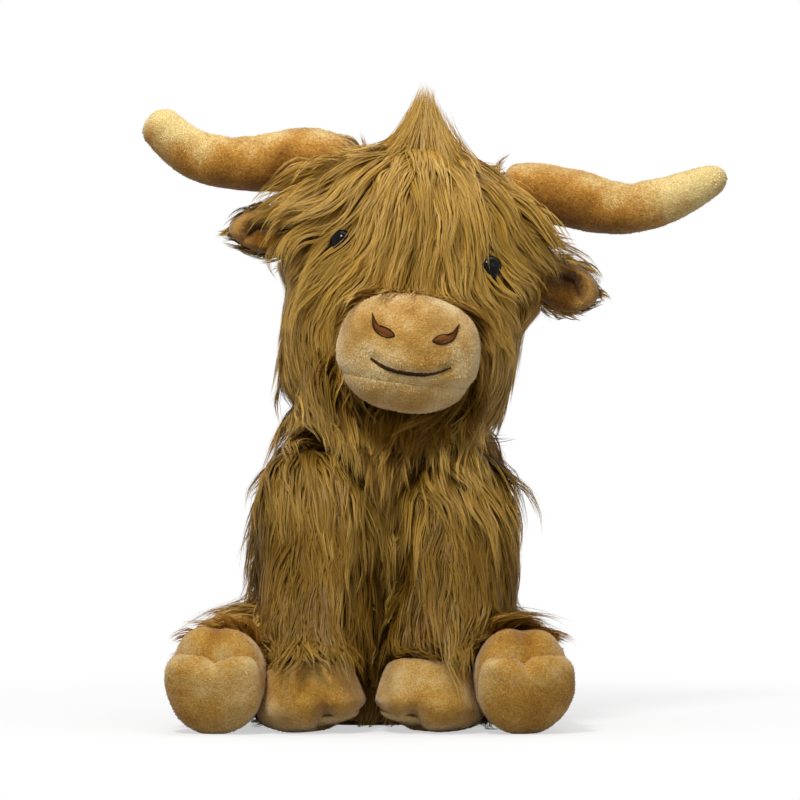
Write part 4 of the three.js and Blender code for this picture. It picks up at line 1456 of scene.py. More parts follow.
@dataclass
class Head:
    """The head's skin, its coats and the forelock, in the head's own leaning frame."""

    shop: Workshop
    roll: float = 10.0
    width: float = 128 * MM
    depth: float = 112 * MM
    top: float = 134 * MM
    bottom: float = 10 * MM
    forward: float = 6 * MM
    squareness: float = 2.2
    pile: float = 5 * MM
    wide: Knots = ((0, 0.8), (0.2, 0.93), (0.42, 1), (0.62, 0.98), (0.85, 0.8), (1, 0.62))
    deep: Knots = ((0, 0.8), (0.3, 1), (0.6, 1), (0.85, 0.86), (1, 0.7))
    eye_spacing: float = 76 * MM
    eye_rise: float = 78 * MM
    eye_clear: tuple[float, float] = (4.2 * MM, 4.5 * MM)
    whorl: tuple[float, float] = (-4 * MM, 10 * MM)
    muzzle_centre: tuple[float, float] = (5 * MM, 29 * MM)
    muzzle_half: tuple[float, float] = (34.4 * MM, 27.4 * MM)
    muzzle_front: float = -77 * MM
    horn_root: tuple[float, float] = (54 * MM, 118 * MM)
    ear_root: tuple[float, float, float] = (60 * MM, 4 * MM, 77 * MM)
    brow_line: float = 58 * MM
    cheek_knee: float = 54 * MM
    cheek_past: float = 7 * MM
    forelock_tip: tuple[float, float, float] = (-9.5 * MM, -14 * MM, 166 * MM)
    forelock_tufts: int = 270
    forelock_strands: int = 8

    def __post_init__(self) -> None:
        """Set the head's frame on its joint."""
        self.matrix = Matrix.Translation(joint_place("head_turn")) @ turn("Y", self.roll)
        self.inverse = self.matrix.inverted()

    def form(self, pile: float) -> StuffedForm:
        """The head's form with its pile taken off.

        Args:
            pile: How thick it is.

        Returns:
            The form.
        """
        half_width, half_depth = self.width / 2 - pile, self.depth / 2 - pile
        return StuffedForm(
            spine=[(0, -self.forward, -self.bottom + pile * 0.8), (0, -self.forward, self.top - pile)],
            half_across=scaled(self.wide, half_width), half_deep=scaled(self.deep, half_depth),
            start_round=0.12, end_round=0.2, squareness=self.squareness)

    def face_at(self, x: float, z: float) -> tuple[Vector, Vector]:
        """The front surface's point and outward direction, in the head's frame.

        Args:
            x: Place across.
            z: Height above the neck.

        Returns:
            The point and the unit vector out of it.
        """
        share = np.array([(z + self.bottom) / (self.top + self.bottom)])
        half_width = float(self.width / 2 * along_knots(self.wide, share)[0])
        half_depth = float(self.depth / 2 * along_knots(self.deep, share)[0])
        q = self.squareness
        across = abs(x) / half_width
        reach = half_depth * (1 - across ** q) ** (1 / q)
        out = Vector((math.copysign(across ** (q - 1) / half_width, x),
                      -((reach / half_depth) ** (q - 1)) / half_depth, 0))
        return Vector((x, -self.forward - reach, z)), out.normalized()

    def comb(self, points: Array, normals: Array) -> Array:
        """Out from the whorl, down the forehead, outward past the eyes and down the cheeks.

        Args:
            points: Places in metres.
            normals: The skin's normals there.

        Returns:
            The direction at each place.
        """
        p = moved(points, self.inverse)
        n = turned(normals, self.inverse)
        x, y, z = p[:, 0], p[:, 1], p[:, 2]
        side = np.tanh(x / (10 * MM))
        reach = np.abs(x)
        top = np.clip(n[:, 2], 0, 1)
        front = np.clip(-n[:, 1] + 0.3, 0, 1)
        out = unit(np.column_stack([x - self.whorl[0], y - self.whorl[1], np.zeros_like(x)]))
        way = np.column_stack([np.zeros_like(x), np.zeros_like(x), -np.ones_like(x)])
        way = way + out * (0.15 + 1.4 * top)[:, None]
        part = gauss(z, 64 * MM, 13 * MM) * gauss(reach, 26 * MM, 16 * MM) * front
        temple = gauss(reach, 54 * MM, 18 * MM) * gauss(z, 90 * MM, 15 * MM) * np.clip(1 - y / (24 * MM), 0, 1)
        cheek = gauss(reach, 44 * MM, 15 * MM) * gauss(z, 54 * MM, 15 * MM) * front
        jaw = np.clip((44 * MM - z) / (26 * MM), 0, 1)
        collar = gauss(reach, 42 * MM, 15 * MM) * gauss(z, 118 * MM, 15 * MM) * gauss(y, -8 * MM, 30 * MM)
        for share, (across, back, up) in ((part, (0.9, 0.0, 0.1)), (temple, (2.4, 0.3, 1.0)),
                                          (cheek, (0.8, 0.3, 0.2)), (collar, (2.4, 0.0, 0.3)),
                                          (jaw, (-0.5, 0.0, 0.0))):
            way += share[:, None] * np.column_stack([side * across, np.full_like(x, back), np.full_like(x, up)])
        way[:, 0] -= 0.6 * np.clip((70 * MM - z) / (40 * MM), 0, 1) * (x > 30 * MM)
        way[:, 1] -= 0.5 * jaw * (y < 0)
        cling = 1 - 0.75 * np.clip(temple + collar, 0, 1)
        way = turned(unit(way), self.matrix)
        return unit(way - normals * cling[:, None] * np.sum(way * normals, axis=1, keepdims=True))

    def drape(self, points: Array, normals: Array) -> Array:
        """Straight down from the jaw's rim, forward and outward over what it lands on.

        Args:
            points: Places in metres.
            normals: The skin's normals there.

        Returns:
            The direction at each place.
        """
        x, y = points[:, 0] - 10 * MM, points[:, 1]
        way = np.column_stack([-0.1 * np.tanh(x / (26 * MM)), -0.95 * np.clip(0.5 - y / (30 * MM), 0, 1),
                               -np.ones_like(x)])
        return unit(way - 0.6 * normals * np.minimum(np.sum(way * normals, axis=1, keepdims=True), 0))

    def around_eyes(self, line: Array) -> Array:
        """Part the tufts about the eyes, so that each eye shows through.

        Args:
            line: The tufts' lines.

        Returns:
            The lines, moved aside.
        """
        number = np.arange(len(line))
        spots = np.tile(np.linspace(0, line.shape[1] - 1, 4 * line.shape[1]), (len(line), 1))
        for eye, clear in zip(self.eyes, self.eye_clear):
            axes = np.array(eye.to_3x3())
            local = (line - np.array(eye.translation)) @ axes
            dense = resampled(local, number, spots)
            gap = np.hypot(dense[..., 0], dense[..., 1])
            nearest = gap.argmin(axis=1)
            push = np.clip(clear - gap.min(axis=1), 0, None) * (dense[number, nearest, 2] > -12 * MM)
            away = dense[number, nearest]
            away[:, 2] = 0
            fall = np.exp(-((np.hypot(local[..., 0], local[..., 1]) / (13 * MM)) ** 2))
            line = line + ((unit(away) * push[:, None])[:, None] * fall[..., None]) @ axes.T
        return self.onto_muzzle(line)

    def onto_muzzle(self, line: Array) -> Array:
        """Let the brow's tufts down onto the muzzle, whose top they touch.

        Args:
            line: The tufts' lines.

        Returns:
            The lines, lowered over the muzzle.
        """
        p = moved(line, self.inverse)
        mx, mz = self.muzzle_centre
        near = gauss(p[..., 2], mz + 34 * MM, 9 * MM) * np.clip(-(p[..., 1] + 44 * MM) / (8 * MM), 0, 1)
        near *= np.clip(1.3 - np.abs(p[..., 0] - mx) / (36 * MM), 0, 1)
        p[..., 2] -= 5 * MM * near
        return self.drawn_in(moved(p, self.matrix))

    def drawn_in(self, line: Array) -> Array:
        """Keep the pile at the cheeks from standing out past the head's own width.

        Args:
            line: The tufts' lines.

        Returns:
            The lines, pressed in at the sides.
        """
        p = moved(line, self.inverse)
        reach, z = np.abs(p[..., 0]), p[..., 2]
        beside = np.clip((60 * MM - z) / (12 * MM), 0, 1) * np.clip((z + 12 * MM) / (10 * MM), 0, 1)
        over = np.clip(reach - self.cheek_knee, 0, None)
        p[..., 0] -= np.sign(p[..., 0]) * beside * (over - self.cheek_past * np.tanh(over / (10 * MM)))
        return moved(p, self.matrix)

    def build(self) -> None:
        """Build the skin, and the frames that the eyes stand in."""
        self.grid = moved(self.form(self.pile).grid(64, 80), self.matrix)
        self.shop.furred_skin("head_skin", self.grid, "head", "head", fill=0.8)
        self.eyes = []
        for side in Side:
            point, out = self.face_at(side.value * self.eye_spacing / 2, self.eye_rise)
            place = Matrix.Translation(point) @ out.to_track_quat("Z", "Y").to_matrix().to_4x4()
            self.eyes.append(self.matrix @ place)

    def bare(self, points: Array) -> Array:
        """Roots that stay bare: under the muzzle, the eyes, the horns and the ears.

        Args:
            points: Places in metres.

        Returns:
            Whether each is bare.
        """
        p = moved(points, self.inverse)
        x, y, z = p[:, 0], p[:, 1], p[:, 2]
        mx, mz = self.muzzle_centre
        under = (np.hypot((x - mx) / (31 * MM), (z - mz) / (24 * MM)) < 1) & (y < -20 * MM)
        for eye in self.eyes:
            under |= np.linalg.norm(points - np.array(eye.translation), axis=1) < 6.5 * MM
        (hx, hz), (ex, ey, ez) = self.horn_root, self.ear_root
        under |= np.hypot(np.hypot(np.abs(x) - hx, z - hz), y) < 9 * MM
        return under | (np.hypot(np.hypot(np.abs(x) - ex, z - ez), y - ey) < 6 * MM)

    def before_muzzle(self, points: Array) -> Array:
        """Whether points are in front of the muzzle, where no hair falls.

        Args:
            points: Places in metres.

        Returns:
            Whether each is there.
        """
        p = moved(points, self.inverse)
        (mx, mz), (half_width, half_height) = self.muzzle_centre, self.muzzle_half
        x, z = np.abs(p[:, 0] - mx) / half_width, np.abs(p[:, 2] - mz) / half_height
        return (x ** 2.6 + z ** 2.6 < 1) & (p[:, 1] < self.muzzle_front)

    def lengths(self, points: Array) -> Array:
        """Longer pile under the jaw, shorter pile at the temples.

        Args:
            points: Places in metres.

        Returns:
            What the length is multiplied by.
        """
        p = moved(points, self.inverse)
        reach = np.abs(p[:, 0])
        low = np.clip((44 * MM - p[:, 2]) / (36 * MM), 0, 1)
        low *= np.where((reach > 36 * MM) & (p[:, 1] > -16 * MM), -0.6, 1.0)
        trim = np.where(p[:, 0] > 0, 0.66, 0.42)
        return 1 + 0.4 * low - trim * gauss(reach, 52 * MM, 16 * MM) * gauss(p[:, 2], 82 * MM, 22 * MM)

    def dress(self) -> None:
        """Grow the face, the cheeks, the back of the head and the forelock."""
        def face(points: Array, normals: Array) -> Array:
            """Roots of the forehead and about the eyes."""
            p = moved(points, self.inverse)
            return (p[:, 1] < 0) & (p[:, 2] > self.brow_line) & ~self.bare(points)

        def cheeks(points: Array, normals: Array) -> Array:
            """Roots of the cheeks and under the muzzle.

            Args:
                points: Places in metres.
                normals: The skin's normals there.

            Returns:
                Whether each stays.
            """
            p = moved(points, self.inverse)
            low = np.where(np.abs(p[:, 0]) > 38 * MM, -8 * MM, 14 * MM)
            return (p[:, 1] < 0) & (p[:, 2] <= self.brow_line) & (p[:, 2] > low) & ~self.bare(points)

        def beard(points: Array, normals: Array) -> Array:
            """Roots under the jaw, whose locks hang over the chest and the shoulders.

            Args:
                points: Places in metres.
                normals: The skin's normals there.

            Returns:
                Whether each stays.
            """
            p = moved(points, self.inverse)
            reach = np.abs(p[:, 0])
            middle = (reach < 43 * MM) & (p[:, 1] < 10 * MM)
            return middle & (p[:, 2] <= 26 * MM) & (p[:, 2] > -8 * MM) & ~self.bare(points)

        def pointed(points: Array) -> Array:
            """A beard that is longest in the middle."""
            return 1.12 - 0.32 * (moved(points, self.inverse)[:, 0] / (42 * MM)) ** 2

        def rear(points: Array, normals: Array) -> Array:
            """Roots behind the ears."""
            return (moved(points, self.inverse)[:, 1] >= 0) & ~self.bare(points)

        rules = {"stop": self.before_muzzle, "vary": self.lengths}
        grow = self.shop.coat
        grow("head_brow_pile", Coat(locks=240, strands=15000, length=(50 * MM, 70 * MM), lock_width=10 * MM,
                                    lift=6 * MM, tip_lift=3.6 * MM, crest=2 * MM, wave=2 * MM,
                                    weight=0.25, swirl=0.26, segments=7, raise_root=0.35),
             self.grid, self.comb, "head", Stream.BROW, keep=face, bend=self.around_eyes, **rules)
        grow("head_cheek_pile", Coat(locks=270, strands=16500, length=(42 * MM, 58 * MM), lock_width=10.5 * MM,
                                     lift=3.8 * MM, tip_lift=1.8 * MM, crest=2 * MM, wave=2.4 * MM,
                                     weight=0.4, segments=6, raise_root=0.35),
             self.grid, self.comb, "head", Stream.CHEEKS, keep=cheeks, bend=self.drawn_in, **rules)
        grow("head_beard_pile", Coat(locks=230, strands=15500, length=(48 * MM, 68 * MM), lock_width=12 * MM,
                                     lift=13 * MM, tip_lift=12 * MM, crest=3 * MM, wave=3 * MM,
                                     weight=0.6, shade=0.46),
             self.grid, self.drape, "head", Stream.BEARD, keep=beard, stop=self.before_muzzle, vary=pointed)
        for side in Side:
            self.collar(side)
        grow("head_back_pile", Coat(locks=330, strands=14000, length=(34 * MM, 46 * MM), lock_width=12 * MM,
                                    lift=3.8 * MM, tip_lift=1.8 * MM, crest=2.4 * MM, wave=2.2 * MM,
                                    width=0.52 * MM, weight=0.35),
             self.grid, self.comb, "head", Stream.HEAD_BACK, keep=rear, bend=self.drawn_in, **rules)
        self.forelock()

    def collar(self, side: Side) -> None:
        """Grow the locks that lap over one horn's root.

        Args:
            side: Which horn.
        """
        sign = side.value
        way = np.array(self.matrix.to_3x3() @ Vector((sign, -0.1, 0.12)))

        def keep(points: Array, normals: Array) -> Array:
            """Roots in a ring about the horn.

            Args:
                points: Places in metres.
                normals: The skin's normals there.

            Returns:
                Whether each stays.
            """
            p = moved(points, self.inverse)
            gap = np.hypot(np.hypot(sign * p[:, 0] - 46 * MM, p[:, 2] - 114 * MM), p[:, 1])
            return (gap > 9 * MM) & (gap < 33 * MM) & (p[:, 0] * sign > 18 * MM) & (p[:, 1] < 22 * MM)

        def comb(points: Array, normals: Array) -> Array:
            """Out along the horn."""
            return unit(np.tile(way, (len(points), 1)) - 0.5 * normals * (normals @ way)[:, None])

        recipe = Coat(locks=60, strands=3400, length=(22 * MM, 32 * MM), lock_width=9 * MM, lift=5.5 * MM,
                      tip_lift=2 * MM, crest=2 * MM, wave=1.6 * MM, weight=0.3)
        self.shop.coat(f"{side.word}_horn_collar_pile", recipe, self.grid, comb, "head",
                       Stream.HORN_COLLAR + sign, keep=keep)

    def forelock(self) -> None:
        """Draw the crown's hair up to a wispy point."""
        rng = self.shop.chance(Stream.FORELOCK)
        tufts, each, steps = self.forelock_tufts, self.forelock_strands, 7
        tip = np.array(self.forelock_tip)
        spread = rng.uniform(-1, 1, tufts)
        root = np.column_stack([spread * 42 * MM - 1 * MM, rng.uniform(-34, 2, tufts) * MM,
                                (127 - 8 * spread ** 2) * MM + rng.normal(0, 1.5 * MM, tufts)])
        root[:, 2] -= np.clip(-root[:, 1] - 14 * MM, 0, None) * 0.55
        reach = rng.uniform(0.45, 1.0, tufts) ** 0.7
        low = root.copy()
        low[:, 0] = root[:, 0] * np.where(root[:, 0] > 0, 0.5, 0.3) + tip[0] * 0.6
        low[:, 2] += rng.uniform(2, 9, tufts) * MM
        end = low + (tip - low) * reach[:, None]
        end[:, 0] += rng.normal(0, 1.2 * MM, tufts) * (1 + 3.5 * (1 - reach))
        end[:, 1] += rng.normal(0, 1.8 * MM, tufts)
        tuft = np.repeat(np.arange(tufts), each)
        total = len(tuft)
        share = np.linspace(0, 1, steps)[None, :] * rng.uniform(0.75, 1.0, total)[:, None]
        share = share[..., None]
        path = (root[tuft][:, None] * (1 - share) ** 2 + 2 * low[tuft][:, None] * share * (1 - share)
                + end[tuft][:, None] * share ** 2)
        close = 1 - 0.6 * share
        path = path + rng.normal(0, 1.4 * MM, (total, 1, 3)) * close
        sway = np.sin(share[..., 0] * rng.uniform(5, 9, total)[:, None] + rng.uniform(0, 6, total)[:, None])
        path[..., 0] += sway * 0.6 * MM
        along = unit(np.gradient(path, axis=1))
        flat = unit(np.cross(np.array([0.0, 1.0, 0.0]), along))
        tones = np.clip(rng.normal(0.48, 0.2, total), 0.05, 0.98)
        strands = Strands(moved(path, self.matrix), turned(flat, self.matrix), tones, 0.36 * MM)
        self.shop.finish(strands.ribbons("forelock_pile", rng), self.shop.long_pile, "head", "long_pile",
                         "forelock")


# Eyes


@dataclass
class Eyes:
    """The domed safety eyes, each with its flange."""

    shop: Workshop
    head: Head
    diameter: float = 12 * MM
    bulge: float = 4.8 * MM
    rise: float = -0.4 * MM
    back_depth: float = 0.25

    def build(self) -> None:
        """Build both eyes and finish their washers."""
        for side, place in zip(Side, self.head.eyes):
            bpy.ops.object.select_all(action="DESELECT")
            bpy.ops.mesh.primitive_uv_sphere_add(segments=48, ring_count=32, radius=self.diameter / 2)
            dome = bpy.context.active_object
            dome.name = f"{side.word}_eye_dome"
            bpy.ops.object.mode_set(mode="EDIT")
            bpy.ops.mesh.select_all(action="DESELECT")
            bpy.ops.object.mode_set(mode="OBJECT")
            for vertex in dome.data.vertices:
                vertex.select = vertex.co.z < -1e-5
            bpy.ops.object.mode_set(mode="EDIT")
            bpy.ops.transform.resize(value=(1.0, 1.0, self.back_depth), center_override=(0, 0, 0))
            bpy.ops.object.mode_set(mode="OBJECT")
            squash = Matrix.Diagonal((1, 1, self.bulge / (self.diameter / 2), 1))
            dome.data.transform(place @ Matrix.Translation((0, 0, self.rise)) @ squash)
            bpy.ops.object.shade_smooth()
            self.shop.finish(dome, self.shop.lacquer, "head", "eye_plastic", f"{side.word}_eye")
            washer = frame["nodes"][f"{side.word}_eye_washer"]
            washer.data.materials.clear()
            washer.data.materials.append(self.shop.plastic)


# Muzzle with its chin and embroidery


@dataclass
class Muzzle:
    """The short-pile muzzle and chin, with stitched nostrils and mouth."""

    shop: Workshop
    head: Head
    width: float = 70.5 * MM
    height: float = 58 * MM
    reach: float = 103 * MM
    length: float = 62 * MM
    roll: float = -3.0
    jaw: float = 0.1
    seam_drop: float = 14 * MM
    seam_sag: float = 1.5 * MM
    groove: float = 1.1 * MM
    thread: float = 0.62 * MM
    shift: float = 1.5 * MM
    nostril_outer: tuple[float, float] = (21.5 * MM, 17.5 * MM)
    nostril_inner: tuple[float, float] = (9.5 * MM, 8 * MM)
    nostril_belly: tuple[float, float] = (2.7 * MM, -1.9 * MM)
    nostril_half: float = 2.2 * MM
    mouth_stitches: int = 70
    rim_stitches: int = 55
    hairs: int = 9000
    mouth_span: float = 19.5 * MM
    mouth_end: float = -4.4 * MM
    mouth_sag: float = 5.2 * MM

    def __post_init__(self) -> None:
        """Set the muzzle's frame on the head."""
        x, z = self.head.muzzle_centre
        self.matrix = self.head.matrix @ Matrix.Translation((x, 0, z)) @ turn("Y", self.roll)
        self.inverse = self.matrix.inverted()

    def grid(self, along: int = 76, around: int = 112) -> Array:
        """The whole muzzle's surface in its own frame, with its dimples.

        Args:
            along: Rings from pole to pole.
            around: Points on each ring.

        Returns:
            Rings, points and coordinates.
        """
        swell = ((0, 0.9), (0.35, 0.97), (0.65, 1.0), (1, 0.88))
        form = StuffedForm(
            spine=[(0, self.length - self.reach, 0), (0, -self.reach, 0)],
            half_across=scaled(swell, self.width / 2), half_deep=scaled(swell, self.height / 2),
            start_round=0.1, end_round=0.4, squareness=2.5)
        grid = form.grid(along, around)
        low = np.clip(-grid[..., 2] / (self.height / 2), 0, 1)
        grid[..., 0] *= 1 - self.jaw * low ** 1.4
        x, z = grid[..., 0], grid[..., 2]
        front = np.clip((-grid[..., 1] - 70 * MM) / (20 * MM), 0, 1)
        height = -self.groove * np.exp(-(((z - self.seam(x)) / (3.2 * MM)) ** 2))
        within = np.abs(x - self.shift) < self.mouth_span
        height += -0.9 * MM * front * gauss(z - self.mouth(x), 0, 2.4 * MM) * within
        height += 0.9 * MM * front * gauss(z - self.mouth(x), 4.5 * MM, 3 * MM) * within
        for side in Side:
            ox = self.shift + side.value * (self.nostril_outer[0] + self.nostril_inner[0]) / 2
            oz = (self.nostril_outer[1] + self.nostril_inner[1]) / 2
            height += -1.4 * MM * np.exp(-((np.hypot(x - ox, z - oz) / (6 * MM)) ** 2)) * front
            corner = np.hypot(x - self.shift - side.value * self.mouth_span, z - self.mouth_end)
            height += -1.6 * MM * front * np.exp(-((corner / (4.5 * MM)) ** 2))
        height += 0.8 * MM * smooth_noise(grid, 26.0, Noise.MUZZLE_FORM) * front
        height += 0.14 * MM * smooth_noise(grid, PILE_GRAIN, Noise.MUZZLE_PILE, 1)
        return raised(grid, height)

    def seam(self, x: Array) -> Array:
        """The chin seam's height at a place across."""
        return -self.seam_drop + self.seam_sag * ((x / (self.width / 2)) ** 2 * 2 - 1) * 0.5

    def mouth(self, x: Array) -> Array:
        """The mouth's height at a place across: a flat line whose ends curl up."""
        share = np.clip(np.abs(x - self.shift) / self.mouth_span, 0, 1)
        return self.mouth_end - self.mouth_sag * (1 - share ** 2.5)

    def tone(self, points: Array) -> Array:
        """The nap's tone: deep high on the left, pale about the mouth, the rim and the chin.

        Args:
            points: Places in metres.

        Returns:
            The tones, from 0, deep, to 1, pale.
        """
        p = moved(points, self.inverse)
        x, z = p[..., 0], p[..., 2]
        tone = 0.48 + 0.22 * smooth_noise(points, 24.0, Noise.MUZZLE_TONE)
        tone += 0.2 * smooth_noise(points, 75.0, Noise.MUZZLE_MOTTLE)
        tone += 0.26 * gauss(z - self.mouth(x), 0, 7 * MM)
        tone += 0.2 * gauss(z, self.mouth_end - 10 * MM, 5 * MM)
        tone -= 0.2 * gauss(x, -24 * MM, 8 * MM) * gauss(z, 8 * MM, 12 * MM)
        tone -= 0.12 * gauss(x, 0, 14 * MM) * gauss(z, 20 * MM, 9 * MM)
        rim = np.clip(np.hypot(x / (self.width / 2), z / (self.height / 2)) - 0.8, 0, 0.3) / 0.3
        return tone + 0.22 * rim

    def half(self, name: str, above: bool) -> Piece:
        """One panel of the muzzle, cut along the chin seam and closed.

        Args:
            name: The panel's name.
            above: Whether it is the part above the seam.

        Returns:
            The panel.
        """
        grid = self.grid()
        grid[..., 2] -= self.seam(grid[..., 0])
        obj = form_object(name, grid)
        bm = bmesh.new()
        bm.from_mesh(obj.data)
        sign = 1 if above else -1
        geometry = bm.verts[:] + bm.edges[:] + bm.faces[:]
        cut = bmesh.ops.bisect_plane(bm, geom=geometry, dist=1e-6, plane_co=(0, 0, sign * 0.04 * MM),
                                     plane_no=(0, 0, sign), clear_inner=True)
        rim = [e for e in cut["geom_cut"] if isinstance(e, bmesh.types.BMEdge)]
        bmesh.ops.holes_fill(bm, edges=rim)
        bmesh.ops.recalc_face_normals(bm, faces=bm.faces)
        bm.to_mesh(obj.data)
        bm.free()
        co = np.zeros(len(obj.data.vertices) * 3)
        obj.data.vertices.foreach_get("co", co)
        co = co.reshape(-1, 3)
        co[:, 2] += self.seam(co[:, 0])
        obj.data.vertices.foreach_set("co", moved(co, self.matrix).ravel())
        obj.data.update()
        return obj

    def build(self) -> None:
        """Build both panels with their nap."""
        whole = moved(self.grid(), self.matrix)
        self.shop.skins.add(whole[::2, ::2])
        self.surface = BVHTree.FromPolygons(whole.reshape(-1, 3).tolist(),
                                            grid_quads(*whole.shape[:2]).tolist())
        for name, above in (("muzzle", True), ("chin", False)):
            def side_of_seam(points: Array, normals: Array, above: bool = above) -> Array:
                """Hairs on this panel, clear of the stitches."""
                p = moved(points, self.inverse)
                over = (p[:, 2] - self.seam(p[:, 0])) > 0
                return (over == above) & (p[:, 1] < -52 * MM) & ~self.under_stitches(p)

            panel = self.half(f"{name}_panel", above)
            self.shop.dress_velvet(panel, whole, self.shop.muzzle, self.tone, "head",
                                   Nap(self.hairs, length=1.2 * MM), (0.1, 0, -1),
                                   Stream.MUZZLE + above, (name,), fill=0.8, keep=side_of_seam)

    def under_stitches(self, p: Array) -> Array:
        """Whether places in the muzzle's frame are under the embroidery.

        Args:
            p: Places in the muzzle's frame.

        Returns:
            Whether each is covered.
        """
        x, z = p[:, 0], p[:, 2]
        within = np.abs(x - self.shift) < self.mouth_span + 1 * MM
        covered = (np.abs(z - self.mouth(x)) < 1.3 * MM) & within
        for side in Side:
            spine, _, _ = self.nostril_lines(side)
            gap = np.hypot(x[:, None] - spine[None, :, 0], z[:, None] - spine[None, :, 1]).min(1)
            covered |= gap < 2.4 * MM
        return covered

    def on_surface(self, x: float, z: float) -> tuple[Vector, Vector]:
        """The point and outward direction of the muzzle's front at a place seen from the front.

        Args:
            x: Place across.
            z: Height in the muzzle's frame.

        Returns:
            The point and its normal.
        """
        start = self.matrix @ Vector((x, -200 * MM, z))
        way = self.matrix.to_3x3() @ Vector((0, 1, 0))
        point, normal, _, _ = self.surface.ray_cast(start, way)
        if normal.dot(way) > 0:
            normal = -normal
        return point, normal

    def stitch(self, bm: bmesh.types.BMesh, start: Array, end: Array, proud: float) -> None:
        """Lay one thread over the surface, from one needle hole to the next.

        Args:
            bm: The mesh that it joins.
            start: Its first hole, across and up in the muzzle's frame.
            end: Its last hole.
            proud: How high its middle stands.
        """
        rings, sides, sunk = 6, 6, 0.25 * MM
        centres, normals = [], []
        for i in range(rings):
            x, z = (np.array(start) + (np.array(end) - start) * (i / (rings - 1))).tolist()
            point, normal = self.on_surface(x, z)
            rise = math.sin(i / (rings - 1) * math.pi)
            centres.append(point + normal * (proud * rise - sunk * (1 - rise)))
            normals.append(normal)
        along = (centres[-1] - centres[0]).normalized()
        rows = []
        for i, (centre, normal) in enumerate(zip(centres, normals)):
            thick = self.thread / 2 * (0.35 + 0.65 * math.sin((i + 0.5) / rings * math.pi))
            across = along.cross(normal).normalized()
            turns = (k / sides * 2 * math.pi for k in range(sides))
            rows.append([bm.verts.new(centre + across * math.cos(a) * thick + normal * math.sin(a) * thick)
                         for a in turns])
        for first, second in zip(rows, rows[1:]):
            for k in range(sides):
                n = (k + 1) % sides
                bm.faces.new((first[k], first[n], second[n], second[k]))
        bm.faces.new(rows[0][::-1])
        bm.faces.new(rows[-1])

    def stitched(self, name: str, stitches: Sequence[tuple], proud: float) -> Piece:
        """Make one object of many stitches.

        Args:
            name: The piece's name.
            stitches: Pairs of needle holes.
            proud: How high the threads stand.

        Returns:
            The stitches.
        """
        bm = bmesh.new()
        for start, end in stitches:
            self.stitch(bm, start, end, proud)
        bmesh.ops.recalc_face_normals(bm, faces=bm.faces)
        mesh = bpy.data.meshes.new(name)
        bm.to_mesh(mesh)
        bm.free()
        mesh.polygons.foreach_set("use_smooth", np.ones(len(mesh.polygons), bool))
        obj = bpy.data.objects.new(name, mesh)
        bpy.context.scene.collection.objects.link(obj)
        return obj

    def nostril_lines(self, side: Side) -> tuple[Array, Array, Array]:
        """The nostril's middle line and its two edges, from its thin outer end to its full inner end.

        Args:
            side: Which nostril.

        Returns:
            The middle line, the upper edge and the lower edge.
        """
        sign = side.value
        outer = np.array([self.shift + sign * self.nostril_outer[0], self.nostril_outer[1]])
        inner = np.array([self.shift + sign * self.nostril_inner[0], self.nostril_inner[1]])
        belly = (outer + inner) / 2 + np.array([sign * self.nostril_belly[0], self.nostril_belly[1]])
        spine = curve_through([outer, belly, inner], 30)
        share = np.linspace(0, 1, 30)
        half = self.nostril_half * np.sin(math.pi * share ** 1.9) ** 0.7
        along = unit(np.gradient(spine, axis=0))
        across = np.column_stack([-along[:, 1], along[:, 0]]) * half[:, None]
        return spine, spine + across, spine - across

    def embroider(self) -> None:
        """Stitch the mouth and the nostrils."""
        rng = self.shop.chance(Stream.EMBROIDERY)
        mouth = []
        for x in np.linspace(-self.mouth_span, self.mouth_span, self.mouth_stitches) + self.shift:
            z = float(self.mouth(np.array(x)))
            thinned = 0.7 * (abs(x - self.shift) / self.mouth_span) ** 3
            half = (1.25 - thinned) * MM * (0.8 + 0.25 * rng.random())
            lean = 0.5 * MM
            mouth.append((np.array([x - lean, z - half]), np.array([x + lean, z + half])))
        line = self.stitched("mouth_stitches", mouth, 0.6 * MM)
        self.shop.finish(line, self.shop.dark_thread, "head", "stitching_thread", "mouth_stitching")
        for side in Side:
            _, upper, lower = self.nostril_lines(side)
            fill = list(zip(upper[1:-1], lower[1:-1]))
            ring = np.vstack([upper, lower[::-1][1:], upper[:1]])
            dense = curve_through(ring, 2 * self.rim_stitches)
            middle = ring.mean(0)
            rim = []
            for a, b in zip(dense[:-1:2], dense[2::2]):
                out = unit(a - middle) * 0.5 * MM
                along = unit(b - a) * 0.6 * MM
                rim.append((a - out - along, a + out + along))
            inside = self.stitched(f"{side.word}_nostril_fill", fill, 0.35 * MM)
            self.shop.finish(inside, self.shop.brown_thread, "head", "stitching_thread", f"{side.word}_nostril")
            outline = self.stitched(f"{side.word}_nostril_outline", rim, 0.6 * MM)
            self.shop.finish(outline, self.shop.dark_thread, "head", "stitching_thread")


# Horns: how far out and how high each point of a spine is, and the radii along it, in millimetres

LEFT_HORN_LINE = ((38, 115), (54, 119), (71, 119.7), (87, 118.6), (102, 119.6), (118, 126),
                  (131, 133.7), (147.5, 146.0))
LEFT_HORN_RADII = ((0, 14.6), (0.15, 15.2), (0.32, 14.8), (0.5, 13.2), (0.65, 12.4), (0.8, 10.8),
                   (0.92, 8.4), (1, 6.6))
RIGHT_HORN_LINE = ((38, 114), (54, 116), (64, 115.6), (76, 112.5), (90, 109.3), (106, 107.4),
                   (121, 109.5), (136, 118), (144.5, 124))
RIGHT_HORN_RADII = ((0, 14.6), (0.15, 16), (0.3, 15.8), (0.5, 14), (0.7, 12.4), (0.85, 11.4), (1, 10))


